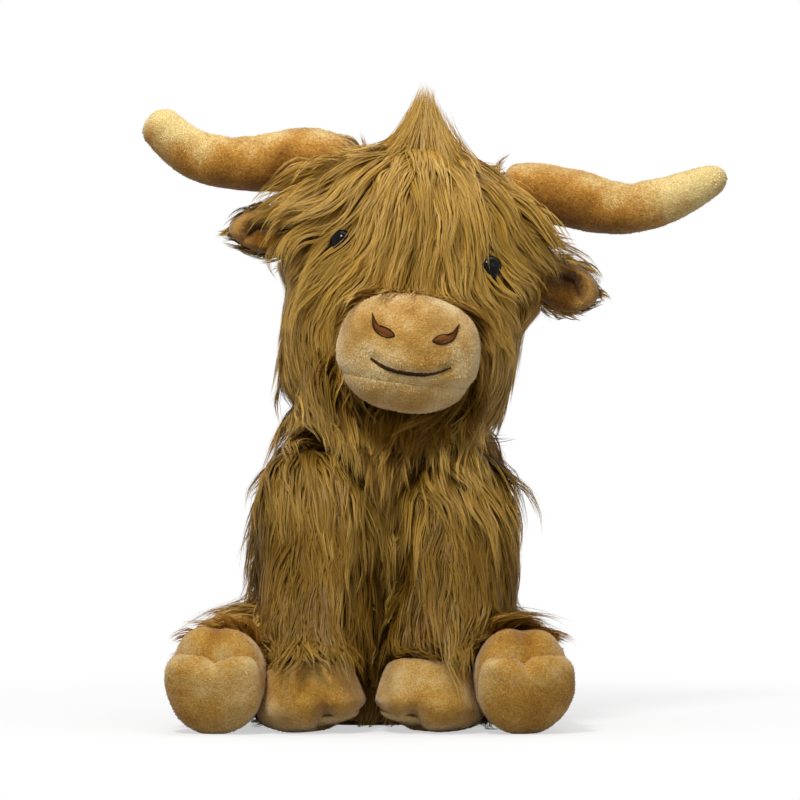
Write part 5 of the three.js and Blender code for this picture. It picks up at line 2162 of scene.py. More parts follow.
@dataclass
class Horn:
    """One curved, stuffed horn of short pile."""

    shop: Workshop
    head: Head
    side: Side
    line: Sequence[tuple[float, float]]
    radii: Knots
    sweep: float = 8 * MM
    creases: tuple[tuple[float, float, float], ...] = ((101, 3.2, 1.0), (92, 2.6, 0.7))
    hairs: int = 5000

    def build(self) -> None:
        """Build the horn along its line in the head's frame."""
        sign = self.side.value
        points = [(sign * u * MM, -self.sweep * ((u - 40) / 102), w * MM) for u, w in self.line]
        form = StuffedForm(
            spine=points, across=(0.0, 1.0, 0.0),
            half_across=scaled(self.radii, MM), half_deep=scaled(self.radii, MM),
            start_round=0.08, end_round=0.07)
        grid = form.grid(96, 64)
        out = grid[:, :, 0] * sign
        height = 0.5 * MM * smooth_noise(grid, 22.0, Noise.HORN_FORM + sign)
        middle = grid.mean(axis=1, keepdims=True)
        upper = np.clip((grid[..., 2] - middle[..., 2]) / (14 * MM), 0, 1)
        crease = sum(depth * gauss(out, at * MM, spread * MM) for at, spread, depth in self.creases)
        height -= 0.7 * MM * crease * upper
        height += 0.12 * MM * smooth_noise(grid, PILE_GRAIN, Noise.HORN_PILE + sign, 1)
        grid = moved(raised(grid, height), self.head.matrix)
        self.shop.skins.add(grid[::3, ::3])
        obj = form_object(f"{self.side.word}_horn_sleeve", grid)
        self.shop.dress_velvet(obj, grid, self.shop.horn, self.tone, f"{self.side.word}_horn",
                               Nap(self.hairs, length=1.2 * MM), (sign, 0, -0.2), Stream.HORN + sign,
                               (f"{self.side.word}_horn",), fill=0.9)

    def tone(self, points: Array) -> Array:
        """The nap's tone: pale at the tip, deep toward the root's belly, with painted light along the top and
        painted shade underneath.

        Args:
            points: Places in metres.

        Returns:
            The tones, from 0, deep, to 1, pale.
        """
        p = moved(points, self.head.inverse)
        out = p[..., 0] * self.side.value
        line = np.array(self.line) * MM
        rise = p[..., 2] - np.interp(out, line[:, 0], line[:, 1])
        tone = 0.42 + 0.2 * smooth_noise(points, 16.0, Noise.HORN_TONE)
        tone += 0.14 * smooth_noise(points, 60.0, Noise.HORN_MOTTLE)
        # Painted light along the top and painted shade underneath
        tone += 0.34 * np.clip(rise / (14 * MM), -1, 1)
        tone += 0.6 * np.clip((out - 108 * MM) / (30 * MM), 0, 1)
        return tone - 0.18 * np.clip((96 * MM - out) / (24 * MM), 0, 1)


# Ears


@dataclass
class Ear:
    """One ear: a long-pile back and a cupped short-pile lining with a rolled rim."""

    shop: Workshop
    head: Head
    side: Side
    root: tuple[float, float, float] = (56 * MM, 4 * MM, 77 * MM)
    droop: float = 4.0
    length: float = 38 * MM
    height: float = 28 * MM
    thickness: float = 14 * MM
    hairs: int = 1600

    def __post_init__(self) -> None:
        """Set the ear's frame on the head: X away from the head, and Y to the back."""
        sign = self.side.value
        left = self.side is Side.LEFT
        self.hollow, self.lobe, self.fold = (4.6 * MM, 3.4 * MM, 0.0) if left else (6.4 * MM, 0.8 * MM, 0.4)
        x, y, z = self.root
        self.matrix = (self.head.matrix @ Matrix.Translation((sign * x, y, z)) @ turn("Y", sign * self.droop))
        if sign < 0:
            self.matrix = self.matrix @ Matrix.Diagonal((-1, 1, 1, 1))
        self.inverse = self.matrix.inverted()

    def shell(self) -> Array:
        """The back of the ear.

        Returns:
            Rings, points and coordinates.
        """
        tall = ((0, 0.5), (0.3, 0.86), (0.55, 0.98), (0.8, 0.9), (1, 0.7))
        form = StuffedForm(
            spine=[(0, 2 * MM, 0), (self.length * 0.5, 3 * MM, 0), (self.length - 2 * MM, 0, 0)],
            across=(0.0, 1.0, 0.0),
            half_across=[(0, self.thickness * 0.3), (1, self.thickness * 0.3)],
            half_deep=scaled(tall, self.height / 2),
            start_round=0.1, end_round=0.3)
        grid = form.grid(36, 40)
        low = 1 - self.fold * np.clip(grid[..., 0] / self.length, 0, 1)
        grid[..., 2] *= np.where(grid[..., 2] < 0, low, 1)
        return grid

    def lining(self) -> Array:
        """The lining in the ear's frame: a leaf with a rolled rim, a groove below it and a full lobe.

        Returns:
            Rings, points and coordinates.
        """
        rings, around = 56, 96
        angle = np.linspace(0, 2 * math.pi, around, endpoint=False)
        share = np.linspace(0, 1, rings)
        size = np.sin(share * math.pi)[:, None]
        front = (share < 0.5)[:, None]
        x = self.length * 0.53 + size * np.cos(angle) * self.length * 0.5
        root = np.clip(x / self.length, 0, 1)
        z = size * np.sin(angle) * self.height * 0.46 * (0.5 + 0.5 * np.sin(root * 1.9) ** 0.8) - 0.5 * MM
        z = np.where(z < 0, z * (1 - self.fold * root), z)
        rolled = 0.35 + 0.65 * np.clip(0.5 + 0.9 * np.sin(angle) + 0.9 * np.cos(angle), 0, 1)
        rim = 4.4 * MM * np.exp(-(((size - 0.78) / 0.2) ** 2)) * rolled * np.clip(root * 1.4, 0, 1)
        line = np.where(x < 25 * MM, 3.6 * MM, 3.6 * MM - (x - 25 * MM) * 1.3)
        groove = self.hollow * np.exp(-(((z - line) / (2.6 * MM)) ** 2)) * gauss(x, 19 * MM, 12 * MM)
        lobe = self.lobe * np.exp(-(((x - 19 * MM) / (10 * MM)) ** 2 + ((z + 4.2 * MM) / (4.6 * MM)) ** 2))
        edge = np.sqrt(np.clip(1 - size ** 8, 0, 1))
        depth = np.where(front, (3.2 * MM + rim + lobe - groove) * edge, -2.2 * MM * edge)
        return np.stack([x, np.broadcast_to(-depth - 2.4 * MM, x.shape), z], axis=-1)

    def tone(self, points: Array) -> Array:
        """The nap's tone: pale on the rolled rim and the outer end as painted light, deep in the hollow as
        painted shade.

        Args:
            points: Places in metres.

        Returns:
            The tones, from 0, deep, to 1, pale.
        """
        p = moved(points, self.inverse)
        # Paler where the lining stands out and deeper where it sinks: painted light and painted shade
        out = np.clip((-p[..., 1] - 2 * MM) / (8 * MM), 0, 1)
        tone = 0.1 + 0.6 * out + 0.3 * gauss(p[..., 0], 36 * MM, 8 * MM)
        return tone + 0.1 * smooth_noise(points, 60.0, Noise.EAR_TONE)

    def comb(self, points: Array, normals: Array) -> Array:
        """Outward along the ear, and a little down."""
        way = np.tile(np.array(self.matrix.to_3x3() @ Vector((1, 0.1, -0.12))), (len(points), 1))
        return along_skin(way, normals)

    def build(self) -> None:
        """Build the shell and the lining."""
        word = self.side.word
        self.grid = moved(self.shell(), self.matrix)
        self.shop.furred_skin(f"{word}_ear_shell", self.grid, f"{word}_ear", f"{word}_ear", fill=0.5)
        grid = self.lining()
        grid = moved(raised(grid, 0.25 * MM * smooth_noise(grid, 90.0, Noise.EAR_FORM)), self.matrix)
        lobe = form_object(f"{word}_ear_lobe", grid)
        way = tuple(self.matrix.to_3x3() @ Vector((1, 0, 0)))
        self.shop.dress_velvet(lobe, grid[:22], self.shop.ear, self.tone, f"{word}_ear",
                               Nap(self.hairs, length=1.1 * MM), way, Stream.EAR_LINING + self.side.value,
                               (f"{word}_ear_lining",), fill=0.4)

    def before_lining(self, points: Array) -> Array:
        """Whether points are in front of the lining, where the ear's own hair doesn't fall.

        Args:
            points: Places in metres.

        Returns:
            Whether each is there.
        """
        p = moved(points, self.inverse)
        x, z = (p[:, 0] - self.length * 0.52) / (self.length * 0.47), p[:, 2] / (self.height * 0.42)
        return (p[:, 1] < -2 * MM) & (np.hypot(x, z) < 1)

    def dress(self) -> None:
        """Grow the back's coat with spikes past the rim."""
        def keep(points: Array, normals: Array) -> Array:
            """Roots on the back and the edges."""
            local = moved(points, self.inverse)
            return (local[:, 1] > -0.5 * MM) & (local[:, 0] > 1 * MM)

        recipe = Coat(locks=80, strands=2200, length=(12 * MM, 18 * MM), lock_width=5 * MM, crest=1 * MM,
                      tufts=4, tuft_width=1.6 * MM, narrow=0.85, lift=2.4 * MM, tip_lift=1.6 * MM,
                      weight=0.2, wave=1 * MM)
        word = self.side.word
        self.shop.coat(f"{word}_ear_pile", recipe, self.grid, self.comb, f"{word}_ear",
                       Stream.EAR + self.side.value, keep=keep, stop=self.before_lining)


# Hooves


@dataclass
class Hoof:
    """A cloven hoof: an upper with two toes, and its heart-shaped sole."""

    shop: Workshop
    body: str
    word: str
    matrix: Matrix
    width: float
    length: float
    depth: float = 30 * MM
    cleft: float = 7.0 * MM
    cleft_place: float = 0.0
    cleft_width: float = 4.5 * MM
    cleft_height: float = 30 * MM
    bulge: float = 2 * MM
    toe_rise: float = 4 * MM
    inner_rise: float = 0.0
    bottom_round: float = 0.24
    sole_top: float = 0.6
    notch: float = 0.1
    notch_turn: float = 0.0
    crown: float = 5 * MM
    sole_size: float = 1.0
    sole_back: float = 0.9
    sole_round: float = 0.72
    # Painted light: an even lift or drop of the hoof's whole tone, for the light or shade that falls on it
    pucker: float = 0.9 * MM
    bias: float = 0.0
    stream: int = Stream.FRONT_HOOF

    def from_toe(self, angle: Array) -> Array:
        """The angle from the toe's direction."""
        return np.arctan2(np.sin(angle + math.pi / 2), np.cos(angle + math.pi / 2))

    def heart(self, angle: Array) -> Array:
        """The sole's outline factor: cut across below the toes, with the heart's notch.

        Args:
            angle: The angle about the sole.

        Returns:
            The factor at each angle.
        """
        off = self.from_toe(angle)
        cut = self.sole_top / np.maximum(np.cos(off), 0.05)
        cut = (cut ** -6 + 1) ** (-1 / 6)
        return cut - self.notch * gauss(off, self.notch_turn, 0.3)

    def toes(self, grid: Array) -> Array:
        """Press the cleft between the two toes into the upper.

        Args:
            grid: The upper's surface in the hoof's frame.

        Returns:
            The surface with its toes.
        """
        across = grid[..., 0] - self.cleft_place
        front = np.clip(-(grid[..., 1] + 2 * MM) / (9 * MM), 0, 1)
        tall = np.clip(1.15 - grid[..., 2] / self.cleft_height, 0, 1)
        groove = gauss(across, 0, self.cleft_width)
        toe = gauss(np.abs(across), 13 * MM, 9 * MM)
        low = np.clip(1 - grid[..., 2] / (17 * MM), 0, 1)
        inner = np.clip(across / math.copysign(20 * MM, self.cleft_place), 0, 1) if self.inner_rise else 0
        grid[..., 1] += (self.cleft * groove - self.bulge * toe) * front * tall
        grid[..., 2] += (self.toe_rise * groove * front + self.inner_rise * inner) * low
        return grid

    def upper_grid(self) -> Array:
        """The upper's surface in the hoof's frame.

        Returns:
            Rings, points and coordinates.
        """
        swell = ((0, 0.98), (0.3, 1.03), (0.6, 0.96), (1, 0.78))
        form = StuffedForm(
            spine=[(0, -4 * MM, 0.2 * MM), (0, -3 * MM, self.depth * 0.35), (0, 2 * MM, self.depth + 5 * MM)],
            half_across=scaled(swell, self.width / 2), half_deep=scaled(swell, self.length / 2),
            start_round=self.bottom_round, end_round=0.15, squareness=2.25)
        grid = self.toes(form.grid(60, 112))
        height = 0.7 * MM * smooth_noise(grid, 30.0, self.stream)
        height += 0.12 * MM * smooth_noise(grid, PILE_GRAIN, Noise.HOOF_PILE, 1)
        return raised(grid, height)

    def sole_grid(self) -> Array:
        """The sole's surface in the hoof's frame: a crowned cushion.

        Returns:
            Rings, points and coordinates.
        """
        form = StuffedForm(
            spine=[(0, -3 * MM, -self.crown), (0, -3 * MM, 9 * MM)],
            half_across=[(0, self.width / 2 * self.sole_size), (1, self.width / 2 * self.sole_back)],
            half_deep=[(0, self.length / 2 * self.sole_size), (1, self.length / 2 * self.sole_back)],
            start_round=self.sole_round, end_round=0.15, squareness=2.15, dent=self.heart)
        grid = form.grid(44, 96)
        height = 0.5 * MM * smooth_noise(grid, 32.0, self.stream + 3)
        edge = np.exp(-((grid[..., 2] / (3 * MM)) ** 2)) * np.clip(-grid[..., 1] / (self.length * 0.3), 0, 1)
        height += self.pucker * edge * smooth_noise(grid, 150.0, self.stream + 4)
        height += 0.12 * MM * smooth_noise(grid, PILE_GRAIN, Noise.SOLE_PILE, 1)
        return raised(grid, height)

    def upper_tone(self, points: Array) -> Array:
        """The upper's nap: pale along the toes' edge, painted shade deep in the cleft, and the hoof's painted
        light over all.

        Args:
            points: Places in metres.

        Returns:
            The tones, from 0, deep, to 1, pale.
        """
        p = moved(points, self.matrix.inverted())
        toe = np.clip(-p[..., 1] / (self.length / 2), 0, 1)
        tone = 0.4 + self.bias + 0.24 * smooth_noise(points, 20.0, self.stream + 5)
        tone += 0.16 * smooth_noise(points, 70.0, self.stream + 6)
        tone += 0.34 * np.exp(-((p[..., 2] / (5 * MM)) ** 2)) * toe
        # Painted shade in the cleft between the toes
        return tone - 0.26 * gauss(p[..., 0], self.cleft_place, 4 * MM) * gauss(p[..., 2], 9 * MM, 9 * MM) * toe

    def sole_tone(self, points: Array) -> Array:
        """The sole's nap: pale along the heart's edge, with the hoof's painted light over all.

        Args:
            points: Places in metres.

        Returns:
            The tones, from 0, deep, to 1, pale.
        """
        p = moved(points, self.matrix.inverted())
        x, y = p[..., 0] / (self.width / 2), (p[..., 1] + 3 * MM) / (self.length / 2)
        angle = np.arctan2(y, x)
        ratio = np.hypot(x, y) / self.heart(angle)
        toe = np.clip(-y * 2.2, 0, 1)
        tone = 0.46 + self.bias + 0.26 * smooth_noise(points, 18.0, self.stream + 7)
        tone += 0.16 * smooth_noise(points, 70.0, self.stream + 8)
        return tone + 0.5 * np.exp(-(((ratio - 0.92) / 0.14) ** 2)) * toe

    def build(self) -> None:
        """Build both panels, seated on the floor."""
        upper, sole = moved(self.upper_grid(), self.matrix), moved(self.sole_grid(), self.matrix)
        drop = min(upper[..., 2].min(), sole[..., 2].min()) + 0.4 * MM
        lay = tuple(self.matrix.to_3x3() @ Vector((0, -1, -0.3)))
        parts = (("hoof", upper, self.upper_tone, 3200), ("sole", sole, self.sole_tone, 2400))
        for number, (name, grid, tone, hairs) in enumerate(parts):
            grid[..., 2] = np.maximum(grid[..., 2] - drop, 0.02 * MM)
            self.shop.skins.add(grid[::2, ::2])
            obj = form_object(f"{self.word}_{name}_panel", grid)
            self.shop.dress_velvet(obj, grid, self.shop.hoof, tone, self.body, Nap(hairs, length=1.2 * MM),
                                   lay, self.stream * 2 + number, (f"{self.word}_{name}",), fill=0.85)


# Legs


@dataclass
class FrontLeg:
    """A front leg: its long-pile sleeve and its hoof."""

    shop: Workshop
    side: Side
    width: float = 50 * MM
    depth: float = 46 * MM
    hem: float = 34 * MM
    hoof_spacing: float = 55 * MM
    hoof_forward: float = 62 * MM
    hoof_width: float = 53 * MM
    hoof_length: float = 56 * MM
    hoof_roll: float = 7.0
    pile: float = 3 * MM

    def __post_init__(self) -> None:
        """Find the shoulder and the hoof's frame."""
        self.word = f"front_{self.side.word}"
        self.body = f"{self.word}_leg"
        self.shoulder = joint_place(f"{self.body}_swing")
        x = self.side.value * self.hoof_spacing / 2
        self.foot = Vector((x, -self.hoof_forward, 0))
        matrix = Matrix.Translation(self.foot) @ turn("Y", self.side.value * self.hoof_roll)
        # The front hoof is painted lighter, as painted light against the shadow of the leg's hair
        self.hoof = Hoof(self.shop, self.body, self.word, matrix, self.hoof_width, self.hoof_length,
                         cleft=5.5 * MM, cleft_place=-7 * MM * self.side.value, toe_rise=5 * MM,
                         inner_rise=5 * MM, bulge=2.5 * MM, crown=-3 * MM, sole_size=0.84,
                         bottom_round=0.34, sole_top=0.8, bias=0.14,
                         stream=Stream.FRONT_HOOF + 3 * self.side.value)

    def skin(self) -> Array:
        """The sleeve's skin, from above the shoulder to inside the hoof.

        Returns:
            Rings, points and coordinates.
        """
        shoulder = self.shoulder
        end = Vector((self.foot.x, self.foot.y + 6 * MM, self.hem - 6 * MM))
        knee = shoulder.lerp(end, 0.55) + Vector((6 * MM, 5 * MM, 0))
        top = shoulder + Vector((0, 5 * MM, 17 * MM))
        half_width, half_depth = self.width / 2 - self.pile, self.depth / 2 - self.pile
        swell = ((0, 0.82), (0.2, 0.95), (0.45, 1.02), (0.75, 1.04), (1, 0.96))
        form = StuffedForm(
            spine=[tuple(top), tuple(shoulder), tuple(knee), tuple(end)],
            half_across=scaled(swell, half_width), half_deep=scaled(swell, half_depth),
            start_round=0.24, end_round=0.05)
        return form.grid(50, 48)

    def comb(self, points: Array, normals: Array) -> Array:
        """Down the leg, a little outward and forward.

        Args:
            points: Places in metres.
            normals: The skin's normals there.

        Returns:
            The direction at each place.
        """
        way = np.zeros_like(points)
        way[:, 2] = -1.0
        top = np.clip((points[:, 2] - 110 * MM) / (20 * MM), 0, 1)
        way[:, 1] = -0.12 - 0.5 * top
        across = np.tanh((points[:, 0] - self.shoulder.x) / (20 * MM)) * self.side.value
        way[:, 0] = ((0.28 - 0.16 * top) * np.clip(across, 0, None) + 0.1) * self.side.value + 0.1
        return along_skin(way, normals)

    def build(self) -> None:
        """Build the sleeve's skin and the hoof."""
        self.grid = self.skin()
        self.shop.furred_skin(f"{self.word}_leg_skin", self.grid, self.body, self.body, fill=0.7)
        self.hoof.build()

    def dress(self) -> None:
        """Grow the leg's locks, which hang over the hoof."""
        above_hoof, shortest = Region(z=(self.hem / MM, 122)), 0.42

        def inner(points: Array) -> Array:
            """Places on the flank that faces the other leg."""
            return (points[:, 0] - self.shoulder.x) * self.side.value < -9 * MM

        def keep(points: Array, normals: Array) -> Array:
            """Roots above the hoof, but for that flank."""
            return above_hoof(points, normals) & ~inner(points)

        def flank(points: Array, normals: Array) -> Array:
            """Roots on that flank, whose hair lies close, so that a gap stays between the legs."""
            return above_hoof(points, normals) & inner(points)

        def lengths(points: Array) -> Array:
            """Shorter locks at the hem, so that they only just drape over the hoof."""
            stray = 1 + 0.4 * np.clip(smooth_noise(points, 50.0, Noise.LEG_LENGTH), 0, 1)
            return np.clip(shortest + (points[:, 2] - self.hem) / (85 * MM), shortest, 1) * stray

        # The leg's locks are painted darker than the head's and the inner flank's darker still, as painted
        # shade low down and between the legs; the shoulder's locks are painted lighter than the leg's
        locks = Coat(locks=150, strands=11500, length=(58 * MM, 82 * MM), lock_width=13 * MM, lift=8.5 * MM,
                     tip_lift=5.5 * MM, crest=3 * MM, wave=3.4 * MM, weight=0.3, raise_root=0.2,
                     segments=7, shade=0.04)
        cap = Coat(locks=85, strands=6500, length=(44 * MM, 60 * MM), lock_width=12 * MM, lift=7 * MM,
                   tip_lift=4.5 * MM, crest=2.6 * MM, wave=3 * MM, weight=0.4, raise_root=0.5, shade=0.3)
        close = Coat(locks=60, strands=3200, length=(40 * MM, 54 * MM), lock_width=11 * MM, lift=2.6 * MM,
                     tip_lift=1.6 * MM, crest=1.2 * MM, wave=1.6 * MM, weight=0.3, raise_root=0.1, shade=-0.2)
        sign = self.side.value
        self.shop.coat(f"{self.word}_inner_pile", close, self.grid, self.comb, self.body,
                       Stream.INNER_FLANK + sign, keep=flank, vary=lengths)
        self.shop.coat(f"{self.word}_leg_pile", locks, self.grid, self.comb, self.body,
                       Stream.FRONT_LEG + sign, keep=keep, vary=lengths)
        self.shop.coat(f"{self.word}_shoulder_pile", cap, self.grid, self.comb, self.body,
                       Stream.SHOULDER + sign, keep=Region(z=(112, ANY)))


@dataclass
class HindLeg:
    """A hind leg that lies along the floor, with its sole to the front."""

    shop: Workshop
    side: Side
    width: float = 46 * MM
    depth: float = 50 * MM
    reach: float = 62 * MM
    splay: float = 15.5
    hoof_width: float = 47 * MM
    hoof_length: float = 50 * MM
    sole_tilt: float = 12.0
    pile: float = 3 * MM
    floor_gap: float = 1.5 * MM
    upward: float = 0.25

    def __post_init__(self) -> None:
        """Find the hip, the leg's direction and the hoof's frame."""
        self.word = f"hind_{self.side.word}"
        self.body = f"{self.word}_leg"
        self.hip = joint_place(f"{self.body}_lift")
        angle = math.radians(self.splay)
        self.way = Vector((self.side.value * math.sin(angle), -math.cos(angle), 0))
        ankle = self.hip + self.way * self.reach
        self.ankle = Vector((ankle.x, ankle.y, self.hoof_length / 2))
        sole = self.hip + self.way * (self.reach + 29 * MM)
        sole.z = self.hoof_length / 2 + 1 * MM
        self.sole = sole
        matrix = (Matrix.Translation(sole) @ turn("Z", self.side.value * self.splay)
                  @ turn("X", self.sole_tilt - 90))
        # The right hoof, nearer the key lamp, is painted lighter and the left one darker, as painted light and
        # shade
        self.hoof = Hoof(self.shop, self.body, self.word, matrix, self.hoof_width, self.hoof_length,
                         sole_top=0.56, notch=0.13, notch_turn=-0.2 * self.side.value, crown=6 * MM,
                         sole_size=1.0, sole_back=1.05, sole_round=0.62, cleft=2 * MM, toe_rise=0.0,
                         cleft_height=26 * MM, bottom_round=0.34,
                         bias=0.16 if self.side is Side.RIGHT else -0.06,
                         stream=Stream.HIND_HOOF + 3 * self.side.value)

    def skin(self) -> Array:
        """The thigh's skin, from behind the hip to inside the hoof.

        Returns:
            Rings, points and coordinates.
        """
        start = self.hip - self.way * 12 * MM + Vector((0, 0, 2 * MM))
        half_width, half_depth = self.width / 2 - self.pile, self.depth / 2 - self.pile
        swell = ((0, 1.0), (0.3, 1.04), (0.6, 1.0), (1, 0.86))
        form = StuffedForm(
            spine=[tuple(start), tuple(self.hip), tuple(self.ankle + self.way * 6 * MM)],
            half_across=scaled(swell, half_width), half_deep=scaled(swell, half_depth),
            start_round=0.2, end_round=0.05)
        grid = form.grid(44, 48)
        grid[..., 2] = np.maximum(grid[..., 2], self.floor_gap)
        return grid

    def comb(self, points: Array, normals: Array) -> Array:
        """Along the thigh to the hoof, and down its sides.

        Args:
            points: Places in metres.
            normals: The skin's normals there.

        Returns:
            The direction at each place.
        """
        way = np.tile(np.array(self.way), (len(points), 1))
        top = np.clip(normals[:, 2], 0, 1)
        way[:, 1] *= 1 - 0.5 * top
        way[:, 2] -= 0.55
        way[:, 0] += self.side.value * (0.05 + 0.45 * top)
        return along_skin(way, normals)

    def build(self) -> None:
        """Build the thigh's skin and the hoof."""
        self.grid = self.skin()
        self.shop.furred_skin(f"{self.word}_leg_skin", self.grid, self.body, self.body, fill=0.7)
        self.hoof.build()

    def beyond(self, points: Array) -> Array:
        """Whether points are past the ankle or low and wide of the hoof, where no hair of the thigh falls.

        Args:
            points: Places in metres.

        Returns:
            Whether each is there.
        """
        reach = np.where(points[:, 2] > 44 * MM, 14 * MM, 4 * MM)
        past = (points - np.array(self.ankle)) @ np.array(self.way) > reach
        across = (points[:, 0] - self.sole.x) * self.side.value
        wide = np.hypot(across, points[:, 2] - self.sole.z) > self.hoof_width / 2
        return past | (wide & (across > 0) & (points[:, 2] < 42 * MM))

    def dress(self) -> None:
        """Grow the thigh's locks."""
        def keep(points: Array, normals: Array) -> Array:
            """Roots off the floor and before the hoof."""
            low = (points - np.array(self.ankle)) @ np.array(self.way)
            return (points[:, 2] > 8 * MM) & (low < -4 * MM - np.clip(34 * MM - points[:, 2], 0, None))

        def above(points: Array, normals: Array) -> Array:
            """Roots on the thigh's top, where the long locks lie."""
            return keep(points, normals) & (normals[:, 2] > self.upward)

        def beside(points: Array, normals: Array) -> Array:
            """Roots on the thigh's flanks."""
            return keep(points, normals) & (normals[:, 2] <= self.upward)

        # The thigh's top locks are painted lighter than the head's, as painted light on the thigh's top; the
        # flank's locks are painted darker, as painted shade
        upper = Coat(locks=95, strands=6000, length=(32 * MM, 44 * MM), lock_width=12 * MM, lift=9 * MM,
                     tip_lift=3 * MM, crest=2.6 * MM, wave=2.4 * MM, weight=0.25, raise_root=0.1, shade=0.85)
        lower = Coat(locks=110, strands=4500, length=(20 * MM, 28 * MM), lock_width=11 * MM, lift=4 * MM,
                     tip_lift=2 * MM, wave=2 * MM, weight=0.2, width=0.45 * MM, shade=0.35)
        sign = self.side.value
        self.shop.coat(f"{self.word}_thigh_pile", upper, self.grid, self.comb, self.body,
                       Stream.THIGH + sign, keep=above, stop=self.beyond)
        self.shop.coat(f"{self.word}_leg_pile", lower, self.grid, self.comb, self.body,
                       Stream.HIND_LEG + sign, keep=beside, stop=self.beyond)


# Tail


@dataclass
class Tail:
    """The tail with its tuft."""

    shop: Workshop
    stub: float = 12 * MM
    radius: float = 4.5 * MM
    length: float = 34 * MM
    tuft: float = 26 * MM
    tuft_radius: float = 9 * MM

    def build(self) -> None:
        """Build the tail's skin and the tuft's core."""
        root = joint_place("tail_swing")
        line = [(0, -8, 0), (0, 0, 0), (0, 9, -3), (0, 12, -10), (0, 12, -34)]
        spine = [tuple(root + Vector(p) * MM) for p in line]
        core = self.radius - 1 * MM
        rope = StuffedForm(spine=spine, half_across=[(0, core), (1, core)], half_deep=[(0, core), (1, core)],
                           start_round=0.05, end_round=0.05).grid(40, 24)
        top = root + Vector((0, self.stub, -self.length - 0.3 * MM))
        bottom = top + Vector((0, 0, -self.tuft + 3 * MM))
        swell = scaled(((0, 0.5), (0.45, 0.75), (1, 0.25)), self.tuft_radius)
        bulb = StuffedForm(spine=[tuple(top), tuple(bottom)], half_across=swell, half_deep=swell).grid(24, 24)
        self.parts = (("tail", rope), ("tail_tuft", bulb))
        for node, grid in self.parts:
            self.shop.furred_skin(f"{node}_skin", grid, "tail", node, fill=0.6)

    def comb(self, points: Array, normals: Array) -> Array:
        """Down the tail.

        Args:
            points: Places in metres.
            normals: The skin's normals there.

        Returns:
            The direction at each place.
        """
        way = np.zeros_like(points)
        way[:, 2] = -1.0
        way[:, 1] = 0.3
        return along_skin(way, normals)

    def dress(self) -> None:
        """Grow the tail's pile and its tuft."""
        def behind(points: Array, normals: Array) -> Array:
            """Roots clear of the body."""
            return points[:, 1] > joint_place("tail_swing").y + 2 * MM

        short = Coat(locks=60, strands=1300, length=(12 * MM, 18 * MM), lock_width=5 * MM, crest=1 * MM,
                     tufts=4, tuft_width=1.4 * MM, lift=2.6 * MM, tip_lift=2 * MM, wave=1 * MM)
        long = Coat(locks=60, strands=1600, length=(16 * MM, 24 * MM), lock_width=6 * MM, crest=1 * MM,
                    tufts=5, tuft_width=1.6 * MM, lift=4 * MM, tip_lift=2.6 * MM, wave=1.4 * MM)
        self.shop.coat("tail_pile", short, self.parts[0][1], self.comb, "tail", Stream.TAIL, keep=behind)
        self.shop.coat("tail_tuft_pile", long, self.parts[1][1], self.comb, "tail", Stream.TAIL_TUFT)


# Studio


